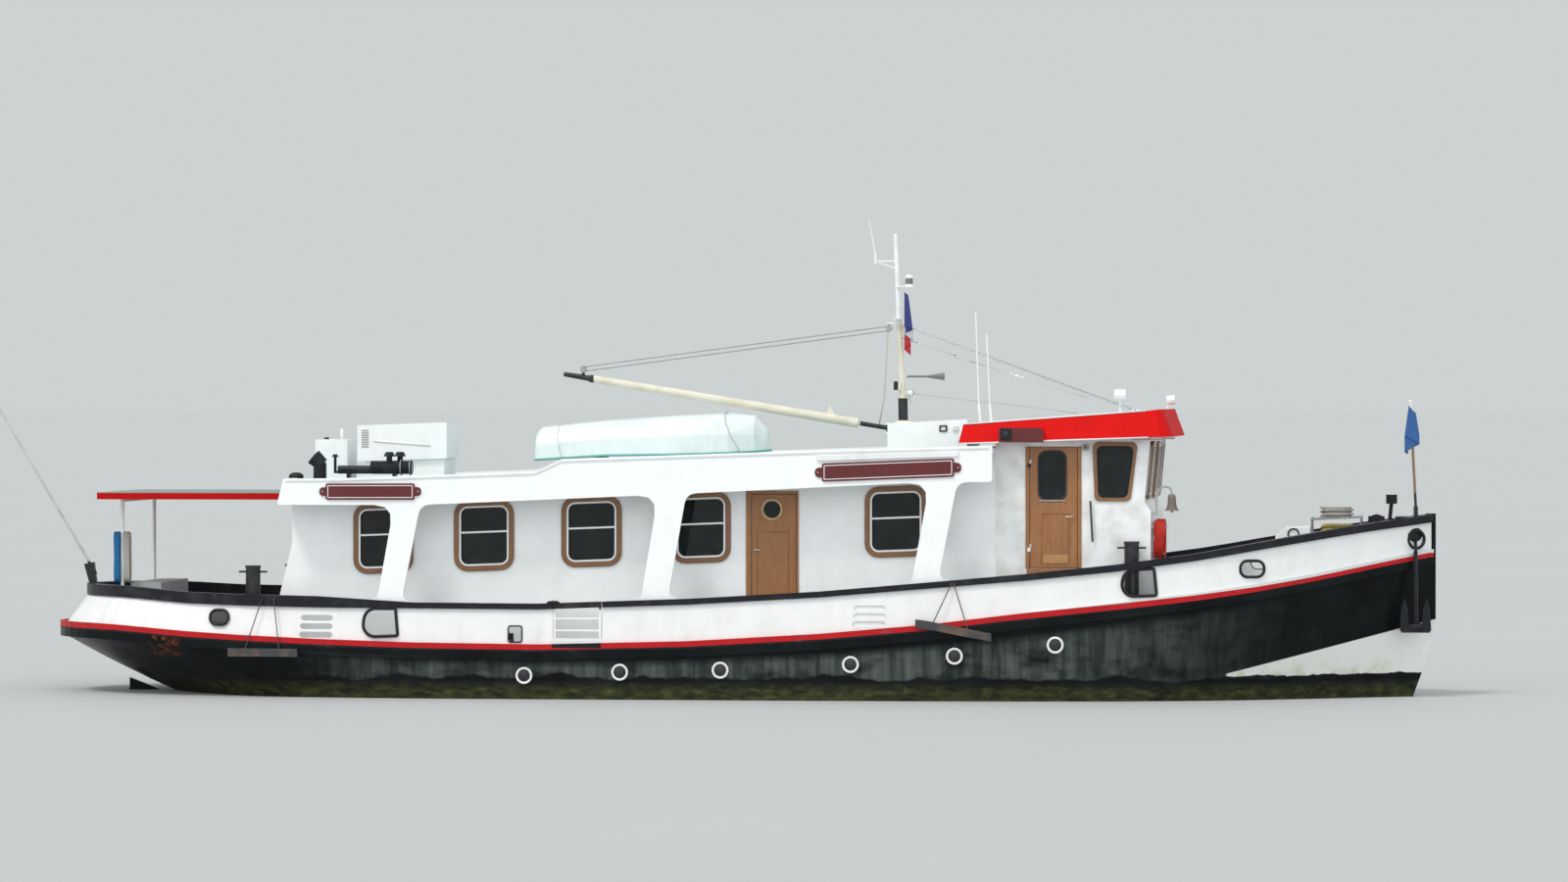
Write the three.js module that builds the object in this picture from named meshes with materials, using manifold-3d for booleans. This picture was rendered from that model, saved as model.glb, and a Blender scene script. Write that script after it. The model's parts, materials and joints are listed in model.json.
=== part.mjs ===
// Sightseeing boat, a converted motor cutter about 22.5 m long.
// Millimetres: +X to the bow, +Y to port, +Z up.
// The origin is on the waterline, on the centreline, amidships.
import * as THREE from "three";
import { mergeVertices } from "three/addons/utils/BufferGeometryUtils.js";
import Module from "manifold-3d";

const wasm = await Module();
wasm.setup();

// Driving dimensions
const GAP = 0.3; // kept between touching pieces
const PLATE = 45; // bulwark and strake plating, as thick as the whole wall
const WALL = 60; // house wall
const WALL_Y = 1850; // outer face of the house and wheelhouse sides
const SCREEN_Y = 2500; // outer face of the side screens that carry the roof edge
const DECK_RISE = 40; // crown of the deck between the edge and the house side
const STRAKE_HALF = 60; // half height of the red strake
const STRAKE_DEPTH = 190; // from the middle of the red strake down to the foot of the black one
const STRAKE_PROUD = 55;
const HEAVY_RAIL_END = -6200; // the rail is deeper aft of this
const GATE = { aft: -2760, fore: -1960, foot: 975 };
const STEM_HALF = 62; // half thickness of the stem bar
const MAST_X = 2600;
const BOOM_PIVOT = [2370, 0, 4310];
const SHAFT_Z = -1180;
const RUDDER_X = -9420;
const SOLE_Z = -2080;
const HOUSE = { aft: -7120, fore: 4250 };
const WINDOW_TILT = THREE.MathUtils.degToRad(2.2); // the windows follow the rising sheer

// Paints and metals: colour, roughness, metalness
const LOOKS = {
  white: [0xe8edf0, 0.4, 0],
  black: [0x14171b, 0.5, 0],
  red: [0xc01218, 0.4, 0],
  grey: [0x7f8a8d, 0.8, 0],
  wood: [0x8a4a1e, 0.5, 0],
  steel: [0x9aa0a3, 0.35, 1],
  brass: [0x9c8048, 0.35, 1],
  bronze: [0x8c6a3a, 0.35, 1],
  blue: [0x2a7fb8, 0.9, 0],
  rope: [0xb9b7a4, 0.95, 0],
  hose: [0xa8222a, 0.6, 0],
  sea: [0xbfe0e2, 0.4, 0],
};

// Lines of the hull, one row a station. Columns: x, half-breadth at the deck edge, height of the red
// strake's middle, height of the rail, how far the rail lies inboard of the deck edge, height of the
// bottom on the centreline, fullness of the section
const STATIONS = [
  [-11270, 120, 1092, 1700, 430, 905, 1.2],
  [-11236, 330, 1092, 1700, 424, 885, 1.2],
  [-11125, 650, 1092, 1700, 412, 825, 1.2],
  [-10920, 1000, 1092, 1698, 390, 715, 1.2],
  [-10565, 1390, 1090, 1695, 355, 530, 1.25],
  [-10110, 1740, 1080, 1690, 305, 310, 1.3],
  [-9500, 2050, 1045, 1660, 240, 30, 1.4],
  [-8800, 2280, 995, 1615, 190, -230, 1.5],
  [-7900, 2450, 945, 1590, 130, -650, 1.7],
  [-6600, 2550, 888, 1568, 75, -1250, 2.0],
  [-5000, 2590, 840, 1535, 45, -1700, 2.4],
  [-3000, 2600, 818, 1525, 40, -1880, 2.8],
  [-600, 2600, 880, 1610, 40, -1900, 3.0],
  [1500, 2600, 1005, 1733, 40, -1880, 2.9],
  [3200, 2600, 1155, 1880, 35, -1870, 2.6],
  [4800, 2545, 1350, 2022, 25, -1880, 2.3],
  [6200, 2440, 1510, 2170, 15, -1890, 2.1],
  [7400, 2230, 1655, 2335, 8, -1850, 1.8],
  [8400, 1900, 1800, 2510, 0, -1720, 1.55],
  [9300, 1440, 1960, 2665, 0, -1450, 1.35],
  [10000, 990, 2100, 2778, 0, -1040, 1.2],
  [10500, 640, 2200, 2848, 0, -480, 1.12],
  [10850, 350, 2265, 2895, 0, 100, 1.08],
  [11050, 170, 2300, 2925, 0, 660, 1.05],
  [11130, 85, 2312, 2935, 0, 1100, 1.05],
];
const COLUMNS = ["x", "half", "sheer", "rail", "lean", "keel", "fullness"];

// Roof edge over the house. Columns: x, top of the fascia, foot of the fascia
const FASCIA = [
  [-7190, 3510, 3090],
  [-6250, 3515, 3090],
  [-4890, 3562, 3092],
  [-3050, 3630, 3172],
  [-2620, 3828, 3190],
  [-600, 3898, 3282],
  [1440, 3968, 3385],
  [3160, 4015, 3470],
  [4250, 4050, 3475],
];
const ROOF_BELOW_FASCIA = 40;
const ROOF_THICK = 90;

// Solids

function solidFromFaces(points, faces) {
  const build = (triangles) =>
    new wasm.Manifold(
      new wasm.Mesh({
        numProp: 3,
        vertProperties: new Float32Array(points.flat()),
        triVerts: new Uint32Array(triangles.flat()),
      }),
    );
  const made = build(faces);
  return made.volume() < 0 ? build(faces.map(([a, b, c]) => [a, c, b])) : made;
}

function solid(geometry) {
  const loose = geometry.index ? geometry.toNonIndexed() : geometry;
  const bare = new THREE.BufferGeometry().setAttribute("position", loose.getAttribute("position"));
  const merged = mergeVertices(bare, 1e-3);
  return new wasm.Manifold(
    new wasm.Mesh({
      numProp: 3,
      vertProperties: merged.attributes.position.array,
      triVerts: new Uint32Array(merged.index.array),
    }),
  );
}

// The mirror image of a solid across the centreline
function mirrored(made) {
  const { vertProperties, triVerts } = made.getMesh();
  const points = Array.from({ length: vertProperties.length / 3 }, (_, i) => {
    const [x, y, z] = vertProperties.subarray(3 * i, 3 * i + 3);
    return [x, -y, z];
  });
  const faces = Array.from({ length: triVerts.length / 3 }, (_, i) => [
    ...triVerts.subarray(3 * i, 3 * i + 3),
  ]);
  return solidFromFaces(points, faces);
}

const join = (...solids) => solids.reduce((all, next) => all.add(next));
const cut = (body, ...tools) => tools.reduce((all, next) => all.subtract(next), body);

function box([x0, x1], [y0, y1], [z0, z1]) {
  const geometry = new THREE.BoxGeometry(x1 - x0, y1 - y0, z1 - z0);
  return solid(geometry.translate((x0 + x1) / 2, (y0 + y1) / 2, (z0 + z1) / 2));
}

function rod(from, to, radius, sides = 8, endRadius = radius) {
  const start = new THREE.Vector3(...from);
  const end = new THREE.Vector3(...to);
  const geometry = new THREE.CylinderGeometry(endRadius, radius, start.distanceTo(end), sides);
  const turn = new THREE.Quaternion().setFromUnitVectors(
    new THREE.Vector3(0, 1, 0),
    end.clone().sub(start).normalize(),
  );
  const middle = start.clone().lerp(end, 0.5);
  return solid(geometry.applyQuaternion(turn).translate(middle.x, middle.y, middle.z));
}

// A turned piece about the vertical through [x, y]; the profile holds [radius, z] and ends on the axis
function turned([x, y], profile, sides = 16) {
  const points = profile.map(([radius, z]) => new THREE.Vector2(radius, z));
  const geometry = new THREE.LatheGeometry(points, sides);
  geometry.rotateX(Math.PI / 2);
  const made = solid(geometry.translate(x, y, 0));
  if (made.volume() > 0) return made;
  const reversed = new THREE.LatheGeometry(points.reverse(), sides);
  return solid(reversed.rotateX(Math.PI / 2).translate(x, y, 0));
}

// An outline from corners of [u, v, radius]
function outline(corners, path = new THREE.Shape()) {
  const at = (i) => new THREE.Vector2(...corners[(i + corners.length) % corners.length]);
  corners.forEach(([u, v, radius = 0], i) => {
    const corner = new THREE.Vector2(u, v);
    const back = at(i - 1).sub(corner).normalize();
    const ahead = at(i + 1).sub(corner).normalize();
    const run = radius / Math.tan(Math.acos(THREE.MathUtils.clamp(back.dot(ahead), -1, 1)) / 2);
    const start = corner.clone().addScaledVector(back, run);
    const end = corner.clone().addScaledVector(ahead, run);
    if (i === 0) path.moveTo(start.x, start.y);
    else path.lineTo(start.x, start.y);
    if (radius > 0) path.quadraticCurveTo(corner.x, corner.y, end.x, end.y);
  });
  return path;
}

const SIDE_AXES = [new THREE.Vector3(1, 0, 0), new THREE.Vector3(0, 0, 1), new THREE.Vector3(0, -1, 0)];
const FRONT_AXES = [new THREE.Vector3(0, 1, 0), new THREE.Vector3(0, 0, 1), new THREE.Vector3(1, 0, 0)];

function extruded(shape, depth, segments = 3) {
  return new THREE.ExtrudeGeometry(shape, { depth, bevelEnabled: false, curveSegments: segments });
}

// A plate with an outline in X and Z, between two values of Y
function sidePlate(shape, [y0, y1], segments) {
  const geometry = extruded(shape, y1 - y0, segments);
  geometry.applyMatrix4(new THREE.Matrix4().makeBasis(...SIDE_AXES));
  return solid(geometry.translate(0, y1, 0));
}

// A plate with an outline in Y and Z, between two values of X
function frontPlate(shape, [x0, x1], segments) {
  const geometry = extruded(shape, x1 - x0, segments);
  geometry.applyMatrix4(new THREE.Matrix4().makeBasis(...FRONT_AXES));
  return solid(geometry.translate(x0, 0, 0));
}

// A plate with an outline in X and Y, between two values of Z
function flatPlate(shape, [z0, z1], segments) {
  return solid(extruded(shape, z1 - z0, segments).translate(0, 0, z0));
}

// A skin through rings of equal count, closed by a cap at each end; flats give the caps in two dimensions
function loft(rings, flats = rings.map((ring) => ring.map(([, y, z]) => [y, z]))) {
  const count = rings[0].length;
  const faces = [];
  for (let row = 0; row < rings.length - 1; row += 1) {
    for (let i = 0; i < count; i += 1) {
      const a = row * count + i;
      const b = row * count + ((i + 1) % count);
      faces.push([a, b, b + count], [a, b + count, a + count]);
    }
  }
  const last = rings.length - 1;
  [0, last].forEach((row) => {
    const contour = flats[row].map(([u, v]) => new THREE.Vector2(u, v));
    const ringTurn = Math.sign(THREE.ShapeUtils.area(contour));
    THREE.ShapeUtils.triangulateShape(contour, []).forEach((triangle) => {
      const turn = Math.sign(THREE.ShapeUtils.area(triangle.map((i) => contour[i])));
      const forward = turn === ringTurn ? triangle : [...triangle].reverse();
      const ordered = row === last ? forward : [...forward].reverse();
      faces.push(ordered.map((i) => i + row * count));
    });
  });
  return solidFromFaces(rings.flat(), faces);
}

// Lines of the hull

const catmull = (a, b, c, d, t) =>
  0.5 * (2 * b + (c - a) * t + (2 * a - 5 * b + 4 * c - d) * t * t + (3 * b - a - 3 * c + d) * t ** 3);

// The stations, with one more between each two towards the ends, where the plan curves most
function fairedStations() {
  const rows = [];
  STATIONS.forEach((row, i) => {
    rows.push(row);
    const next = STATIONS[i + 1];
    if (!next || (row[0] > -9500 && row[0] < 7400)) return;
    const before = STATIONS[i - 1] ?? row;
    const after = STATIONS[i + 2] ?? next;
    rows.push(row.map((value, k) => catmull(before[k], value, next[k], after[k], 0.5)));
  });
  return rows.map((row) => Object.fromEntries(COLUMNS.map((name, k) => [name, row[k]])));
}
const LINES = fairedStations();

// A value of the lines at any x, straight between the rows so that it lies on the faceted surfaces
function along(valueOf, x) {
  const next = Math.max(1, LINES.findIndex((row) => row.x >= x));
  const [before, after] = [LINES[next - 1], LINES[next]];
  return THREE.MathUtils.mapLinear(x, before.x, after.x, valueOf(before), valueOf(after));
}

function fascia(column, x) {
  const next = Math.max(1, FASCIA.findIndex((row) => row[0] >= x));
  const [before, after] = [FASCIA[next - 1], FASCIA[next]];
  return THREE.MathUtils.mapLinear(x, before[0], after[0], before[column], after[column]);
}
const roofTop = (x) => fascia(1, x) - ROOF_BELOW_FASCIA;
const roofUnder = (x) => roofTop(x) - ROOF_THICK;
const hullTop = (row) => row.sheer - PLATE;
const floorAt = (x) => along((row) => row.sheer, x) + DECK_RISE; // deck at and inside the house side
const railTop = (row) => row.rail + (row.x < HEAVY_RAIL_END ? 60 : 0);
const railFoot = (row) => {
  if (row.x < HEAVY_RAIL_END) return row.rail + 60 - 180;
  return row.rail - THREE.MathUtils.clamp(92 + (row.x - 2000) / 250, 92, 127);
};

// The deck edge in plan, from the bow along starboard, round the stern and back along port to the bow
function deckEdge() {
  const starboard = LINES.map((row) => ({ ...row, y: -row.half })).reverse();
  const port = LINES.map((row) => ({ ...row, y: row.half }));
  const path = [...starboard, ...port];
  return path.map((row, i) => {
    const before = path[Math.max(0, i - 1)];
    const after = path[Math.min(path.length - 1, i + 1)];
    const heading = new THREE.Vector2(after.x - before.x, after.y - before.y).normalize();
    return { ...row, nx: -heading.y, ny: heading.x };
  });
}
const EDGE = deckEdge();

// A band along a stretch of path; section(row) gives its corners as [outboard, z]
function ribbon(path, section) {
  const flats = path.map(section);
  const rings = path.map((row, i) =>
    flats[i].map(([out, z]) => [row.x + row.nx * out, row.y + row.ny * out, z]),
  );
  return loft(rings, flats);
}

const boat = new THREE.Group();

function add(name, made, look, mirrored = false) {
  const [color, roughness, metalness] = LOOKS[look];
  const { vertProperties, triVerts } = made.getMesh();
  const geometry = new THREE.BufferGeometry();
  geometry.setAttribute("position", new THREE.BufferAttribute(vertProperties, 3));
  geometry.setIndex(new THREE.BufferAttribute(triVerts, 1));
  const mesh = new THREE.Mesh(geometry, new THREE.MeshStandardMaterial({ color, roughness, metalness }));
  mesh.name = name;
  mesh.scale.y = mirrored ? -1 : 1;
  boat.add(mesh);
}

// A starboard piece and its mirror image to port
function addPair(name, made, look) {
  add(`${name}_starboard`, made, look);
  add(`${name}_port`, made, look, true);
}

// Hull

// Corners of the skin of one station, from the deck edge down to the keel on one side
function halfSection(row, side) {
  const steps = 7;
  const keelHalf = Math.min(60, row.half * 0.6);
  const top = hullTop(row);
  return Array.from({ length: steps + 1 }, (_, i) => {
    const turn = ((Math.PI / 2) * i) / steps;
    const across = Math.cos(turn) ** (2 / row.fullness);
    const down = Math.sin(turn) ** (2 / row.fullness);
    const y = i === steps ? keelHalf : keelHalf + (row.half - keelHalf) * across;
    const z = i === 0 ? top : top - (top - row.keel) * down;
    return [row.x, side * y, z];
  });
}

const shell = loft(LINES.map((row) => [...halfSection(row, -1), ...halfSection(row, 1).reverse()]));

const blackStrake = (out, lift = 0) =>
  ribbon(EDGE, (row) => [
    [out, row.sheer - STRAKE_DEPTH + lift],
    [out, row.sheer - STRAKE_HALF + lift],
    [-70, row.sheer - STRAKE_HALF + lift],
    [-70, row.sheer - STRAKE_DEPTH + lift],
  ]);

// The stem bar follows the curve of the forefoot
const stem = (half) =>
  sidePlate(
    outline([
      [11200, 2945],
      [11040, 2945],
      [11040, 1300],
      [10700, 0],
      [10150, -860],
      [9300, -1350],
      [7600, -1780],
      [7600, -1930],
      [8600, -1840, 600],
      [9560, -1500, 500],
      [10560, -760, 700],
      [10990, 420, 900],
      [11200, 1200, 600],
    ]),
    [-half, half],
  );

// The fin under the run carries the shaft, and its sole piece the foot of the rudder
const FIN_AFT = -8480;
const fin = sidePlate(
  outline([
    [FIN_AFT, SOLE_Z],
    [FIN_AFT, -250],
    [-7000, -800],
    [-3000, -1700],
    [5200, -1800],
    [7600, -1930],
    [5200, -1990],
    [-3000, SOLE_Z],
  ]),
  [-55, 55],
);
const solePiece = box([RUDDER_X - 130, FIN_AFT + 10], [-50, 50], [SOLE_Z, SOLE_Z + 90]);
const sternTube = rod([FIN_AFT - 60, 0, SHAFT_Z], [FIN_AFT + 900, 0, SHAFT_Z], 130, 12, 180);
const rudderTrunk = rod([RUDDER_X, 0, 60], [RUDDER_X, 0, 700], 80, 10);
const hullBody = join(
  shell,
  blackStrake(STRAKE_PROUD),
  stem(STEM_HALF),
  fin,
  solePiece,
  sternTube,
  rudderTrunk,
);
const rudderHole = rod([RUDDER_X, 0, -200], [RUDDER_X, 0, 420], 48, 10);
add("hull", cut(hullBody, rudderHole), "black");

// Deck

const deckRows = LINES.filter((row) => row.x > -11130 && row.half > 250);
const deckBlank = (lift) =>
  loft(
    deckRows.map((row) => {
      const out = row.half - 20;
      const inner = Math.min(WALL_Y + 20, out * 0.75);
      const foot = hullTop(row) + GAP;
      return [
        [row.x, -out, foot],
        [row.x, out, foot],
        [row.x, out, row.sheer + lift],
        [row.x, inner, row.sheer + DECK_RISE + lift],
        [row.x, -inner, row.sheer + DECK_RISE + lift],
        [row.x, -out, row.sheer + lift],
      ];
    }),
  );
const bulwarkBand = (outer, clear, toTop) =>
  ribbon(EDGE, (row) => [
    [outer, hullTop(row) + GAP - clear],
    [outer - row.lean, railFoot(row) + toTop],
    [-row.lean - PLATE - clear, railFoot(row) + toTop],
    [-PLATE - clear, hullTop(row) + GAP - clear],
  ]);
const stemRoom = stem(STEM_HALF + GAP);
// A mooring post welded to the deck: a wide pipe with a cap, and a bar through it
function bitt(x, y, top) {
  const deck = floorAt(x);
  return join(
    rod([x, y, deck - 40], [x, y, top - 30], 118, 14),
    rod([x, y, top - 32], [x, y, top], 128, 14),
    box([x - 170, x + 170], [y - 150, y + 150], [deck - 60, deck + 22]),
    rod([x - 230, y, top - 100], [x + 230, y, top - 100], 16, 8),
  );
}
const bitts = join(bitt(6430, -2060, 2530), bitt(-7750, -1900, 2100));
const deckPlate = cut(deckBlank(0), bulwarkBand(80, 6, 0), stemRoom);
add("main_deck", join(deckPlate, bitts, mirrored(bitts)), "grey");

// Bulwark, with its freeing slots, D-shaped ports, fairleads, hawse holes and gates

function slot(x0, x1, z0, z1, radius = 35, segments = 1) {
  return sidePlate(
    outline([
      [x0, z0, radius],
      [x1, z0, radius],
      [x1, z1, radius],
      [x0, z1, radius],
    ]),
    [-2900, -1200],
    segments,
  );
}

// A D-shaped port with its round side aft; its top falls aft by fall
function dPort(x0, x1, z0, z1, fall = 0) {
  const bow = (z1 - z0) * 0.42;
  const corners = [
    [x0, z0, bow],
    [x1, z0 + 25, 40],
    [x1 - 40, z1, 40],
    [x0 + 60, z1 - fall, bow],
  ];
  return sidePlate(outline(corners), [-2900, -1200]);
}
const slotStack = (x0, x1, feet) => feet.map((z, i) => slot(x0 + 12 * i, x1, z, z + 95));

const bulwarkCuts = [
  ...slotStack(-6880, -6330, [965, 1100, 1235]),
  ...slotStack(2040, 2570, [1170, 1295, 1420]),
  dPort(-5850, -5270, 985, 1430),
  dPort(6275, 6835, 1665, 2105, 35),
  slot(-3470, -3260, 915, 1165, 30),
  slot(-8368, -8068, 1165, 1391, 110, 4),
  slot(8150, 8510, 1975, 2220, 120, 4),
  box([GATE.aft, GATE.fore], [-2700, -2400], [GATE.foot, 1700]),
];
// A lift-off hinge: two knuckles on one upright pin line, the leaf's resting on the frame's.
// reach is where the knuckle's arm ends, as [x, y]; each hinge stands at one of heights
const HINGE = { radius: 12, half: 60 };
function hingeHalf([x, y], reach, heights, upper) {
  return join(
    ...heights.map((z) => {
      const [low, high] = upper ? [z + GAP, z + HINGE.half] : [z - HINGE.half, z];
      const [farX, farY] = reach;
      const arm = box(
        [Math.min(x - 4, farX), Math.max(x + 4, farX)],
        [Math.min(y - 4, farY), Math.max(y + 4, farY)],
        [low, high],
      );
      return join(rod([x, y, low], [x, y, high], HINGE.radius, 10), arm);
    }),
  );
}

// Rails: the capping of the bulwark, parted at the gates; both sides are the same band, mirrored
const bothSides = (half) => join(half, mirrored(half));
const portHalf = box([-12000, 12000], [5, 3000], [0, 4000]);

const RAIL_OUT = 45;
const RAIL_IN = 95;
const railBand = (lift) =>
  ribbon(EDGE, (row) => [
    [RAIL_OUT - row.lean, railFoot(row) + lift],
    [RAIL_OUT - row.lean, railTop(row) + lift],
    [-RAIL_IN - row.lean, railTop(row) + lift],
    [-RAIL_IN - row.lean, railFoot(row) + lift],
  ]);
const railAft = cut(railBand(0), portHalf, box([GATE.aft, 12000], [-3000, 3000], [0, 4000]));
const railFore = cut(railBand(0), portHalf, box([-12000, GATE.fore], [-3000, 3000], [0, 4000]), stemRoom);
const bowPlate = cut(
  flatPlate(outline([[10560, -520], [11060, -90], [11060, 90], [10560, 520]]), [2880, 2895]),
  stemRoom,
);
const GATE_HINGE = { pin: [-2756, -2443], frame: [-2800, -2470], leaf: [-2728, -2470], heights: [1500] };
const gateFrame = hingeHalf(GATE_HINGE.pin, GATE_HINGE.frame, GATE_HINGE.heights, false);
add("rail_aft", bothSides(join(railAft, gateFrame)), "black");
add("rail_fore", join(bothSides(railFore), bowPlate), "black");

const hawse = rod([10900, -900, 2585], [10860, -50, 2620], 120, 14);
const bulwarkHalf = cut(bulwarkBand(0, 0, 20), portHalf, railBand(-GAP), stemRoom, hawse, ...bulwarkCuts);
// Lengths that the plating is welded up from, starboard half; the aftermost goes round the stern
const aftOf = (x) => box([-12000, x + GAP / 2], [-3000, 3000], [0, 4000]);
const foreOf = (x) => box([x - GAP / 2, 12000], [-3000, 3000], [0, 4000]);
const bulwarkLength = (x0, x1) => cut(bulwarkHalf, aftOf(x0), foreOf(x1));
const BULWARK_BUTTS = { aft: -7100, gate: -2360, fore: 4850 };
add("bulwark_stern", bothSides(bulwarkLength(-11900, BULWARK_BUTTS.aft)), "white");
addPair("bulwark_aft", bulwarkLength(BULWARK_BUTTS.aft, BULWARK_BUTTS.gate), "white");
addPair("bulwark_middle", bulwarkLength(BULWARK_BUTTS.gate, BULWARK_BUTTS.fore), "white");
addPair("bulwark_fore", bulwarkLength(BULWARK_BUTTS.fore, 11900), "white");

// Red strake, on the black one
const redStrake = ribbon(EDGE, (row) => [
  [STRAKE_PROUD, row.sheer - 1.5 * STRAKE_HALF],
  [STRAKE_PROUD, row.sheer + STRAKE_HALF],
  [2 * GAP, row.sheer + STRAKE_HALF],
  [2 * GAP, row.sheer - 1.5 * STRAKE_HALF],
]);
add("strake_red", cut(redStrake, blackStrake(STRAKE_PROUD + 20, GAP), stemRoom), "red");

// House

// Points along a height function over x, with a vertex wherever the surface under it has one
function followed(heightAt, x0, x1, knots) {
  const inside = knots.filter((x) => x > x0 + 1 && x < x1 - 1);
  return [x0, ...inside, x1].map((x) => [x, heightAt(x)]);
}
const deckKnots = LINES.map((row) => row.x);
const roofKnots = FASCIA.map((row) => row[0]);

// Corners of a rounded window, tilted with the sheer
function windowCorners(x, z, width, height, radius) {
  const centre = new THREE.Vector2(x, z);
  const corners = [[-1, -1], [1, -1], [1, 1], [-1, 1]];
  return corners.map(([u, v]) => {
    const corner = new THREE.Vector2(x + (u * width) / 2, z + (v * height) / 2);
    corner.rotateAround(centre, WINDOW_TILT);
    return [corner.x, corner.y, radius];
  });
}

// House side windows: x and z of the middle, width
const HOUSE_WINDOWS = [
  [-5625, 2545, 830],
  [-3985, 2590, 830],
  [-2240, 2660, 830],
  [-470, 2728, 810],
  [2660, 2832, 850],
];
const WINDOW_HEIGHT = 985;
const SALOON_DOOR = { x0: 335, x1: 1065, z0: 1115, z1: 3270 };
const BRIDGE_DOOR = { x0: 4790, x1: 5560, z0: 2095, z1: 4030 };
const DOOR_CLEAR = 8;
const DOOR_THICK = 45;

const SALOON_HINGE = { pin: [1054, -1772], frame: [1096, -1792], leaf: [1032, -1800], heights: [1420, 2900] };
const BRIDGE_HINGE = { pin: [4802, -1868], frame: [4760, -1846], leaf: [4826, -1842], heights: [2420, 3760] };

const doorHole = ({ x0, x1, z0, z1 }) => outline([[x0, z0], [x1, z0], [x1, z1], [x0, z1]], new THREE.Path());

const houseSide = outline([
  ...followed((x) => floorAt(x) + GAP, HOUSE.aft - 300, HOUSE.fore, deckKnots),
  ...followed((x) => roofUnder(x) - GAP, HOUSE.aft - 8, HOUSE.fore, roofKnots).reverse(),
  [HOUSE.aft + 5, 2480, 700],
  [HOUSE.aft - 200, 1640, 700],
]);
houseSide.holes = [
  ...HOUSE_WINDOWS.map(([x, z, width]) =>
    outline(windowCorners(x, z, width, WINDOW_HEIGHT, 150), new THREE.Path()),
  ),
  doorHole(SALOON_DOOR),
];
const saloonFrame = hingeHalf(SALOON_HINGE.pin, SALOON_HINGE.frame, SALOON_HINGE.heights, false);
addPair("house_side", join(sidePlate(houseSide, [-WALL_Y, -WALL_Y + WALL]), saloonFrame), "white");

const INSIDE = WALL_Y - WALL - GAP;
const aftWall = box([HOUSE.aft + 10, HOUSE.aft + 60], [-INSIDE, INSIDE], [floorAt(HOUSE.aft) + 1, 3360]);
const aftWindows = [-1050, 1050].map((y) =>
  frontPlate(
    outline([[y - 380, 2050, 120], [y + 380, 2050, 120], [y + 380, 3000, 120], [y - 380, 3000, 120]]),
    [HOUSE.aft - 100, HOUSE.aft + 200],
  ),
);
add("house_aft_wall", cut(aftWall, ...aftWindows), "white");

// Roof slab between the screens, with its own edge across the stern end and two bearers for the dinghy
const ROOF_HALF = SCREEN_Y - WALL - GAP;
const roofOutline = outline([
  ...followed(roofUnder, -7140, HOUSE.fore, roofKnots),
  ...followed(roofTop, -7140, HOUSE.fore, roofKnots).reverse(),
]);
const aftFascia = sidePlate(
  outline([
    [-7240, 3090],
    [-7180, 3090],
    [-7131, 3290],
    [-7131, 3395],
    [-7080, 3440],
    [-7080, 3510],
    [-7137, 3510],
  ]),
  [-ROOF_HALF, ROOF_HALF],
);
const DINGHY_BEARERS = [-2350, -350];
const bearers = DINGHY_BEARERS.map((x) =>
  box([x - 40, x + 40], [-560, 560], [roofUnder(x), roofTop(x) + 52]),
);
add("house_roof", join(sidePlate(roofOutline, [-ROOF_HALF, ROOF_HALF]), aftFascia, ...bearers), "white");

// Side screens: fascia and three leaning pillars that stand on the rail
const railSeat = (x) => along(railTop, x) + 3 * GAP;
const SCREEN_CORNER = 270;
const TOE = { reach: 150, thick: 12, corner: 130 }; // the pillars spread out to thin toes on the rail
// Pillars: x of the aft and fore edges at the rail, then at the fascia
const PILLARS = [
  [-5610, -5215, -5335, -4915],
  [-1355, -920, -1078, -630],
  [2970, 3395, 3262, 3695],
];
const toe = (x, end) => [
  [x, railSeat(x) + TOE.thick, TOE.corner],
  [end, railSeat(end) + TOE.thick],
  [end, railSeat(end)],
];
const screen = outline([
  [-7240, 3090, 40],
  ...PILLARS.flatMap(([footAft, footFore, headAft, headFore]) => [
    [headAft, fascia(2, headAft), SCREEN_CORNER],
    ...toe(footAft, footAft - TOE.reach),
    ...toe(footFore, footFore + TOE.reach).reverse(),
    [headFore, fascia(2, headFore), SCREEN_CORNER * 0.75],
  ]),
  [4250, 3475, 60],
  ...followed((x) => fascia(1, x), -7135, HOUSE.fore, roofKnots).reverse(),
]);
addPair("screen", sidePlate(screen, [-SCREEN_Y, -SCREEN_Y + WALL]), "white");

// Wheelhouse

const BRIDGE_FLOOR = 2000;
const bridgeRoofUnder = (x) => 4290 + 0.0741 * (x - 3743);
const BRIDGE_FRONT = { foot: 6720, ledge: 3000, sill: 3150, sillX: 6620, head: 6745 };
const bridgeSide = outline([
  ...followed((x) => floorAt(x) + GAP, HOUSE.fore + GAP, BRIDGE_FRONT.foot, deckKnots),
  [BRIDGE_FRONT.foot, BRIDGE_FRONT.ledge, 60],
  [BRIDGE_FRONT.sillX, BRIDGE_FRONT.sill, 60],
  [BRIDGE_FRONT.head, bridgeRoofUnder(BRIDGE_FRONT.head) - GAP],
  [HOUSE.fore + GAP, bridgeRoofUnder(HOUSE.fore) - GAP],
]);
bridgeSide.holes = [
  doorHole(BRIDGE_DOOR),
  outline([[5890, 3215, 110], [6350, 3215, 110], [6460, 4040, 60], [5860, 4040, 60]], new THREE.Path()),
];
const doorStep = [0, 1].map((i) =>
  box([4830, 5520], [-WALL_Y - 130 - 120 * i, -WALL_Y + 10], [1760 - 180 * i, 1795 - 180 * i]),
);
const handrail = join(
  rod([5765, -WALL_Y - 60, 3170], [5800, -WALL_Y - 60, 2520], 16),
  rod([5767, -WALL_Y - 60, 3140], [5767, -WALL_Y + 5, 3140], 14),
  rod([5798, -WALL_Y - 60, 2550], [5798, -WALL_Y + 5, 2550], 14),
);
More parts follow.
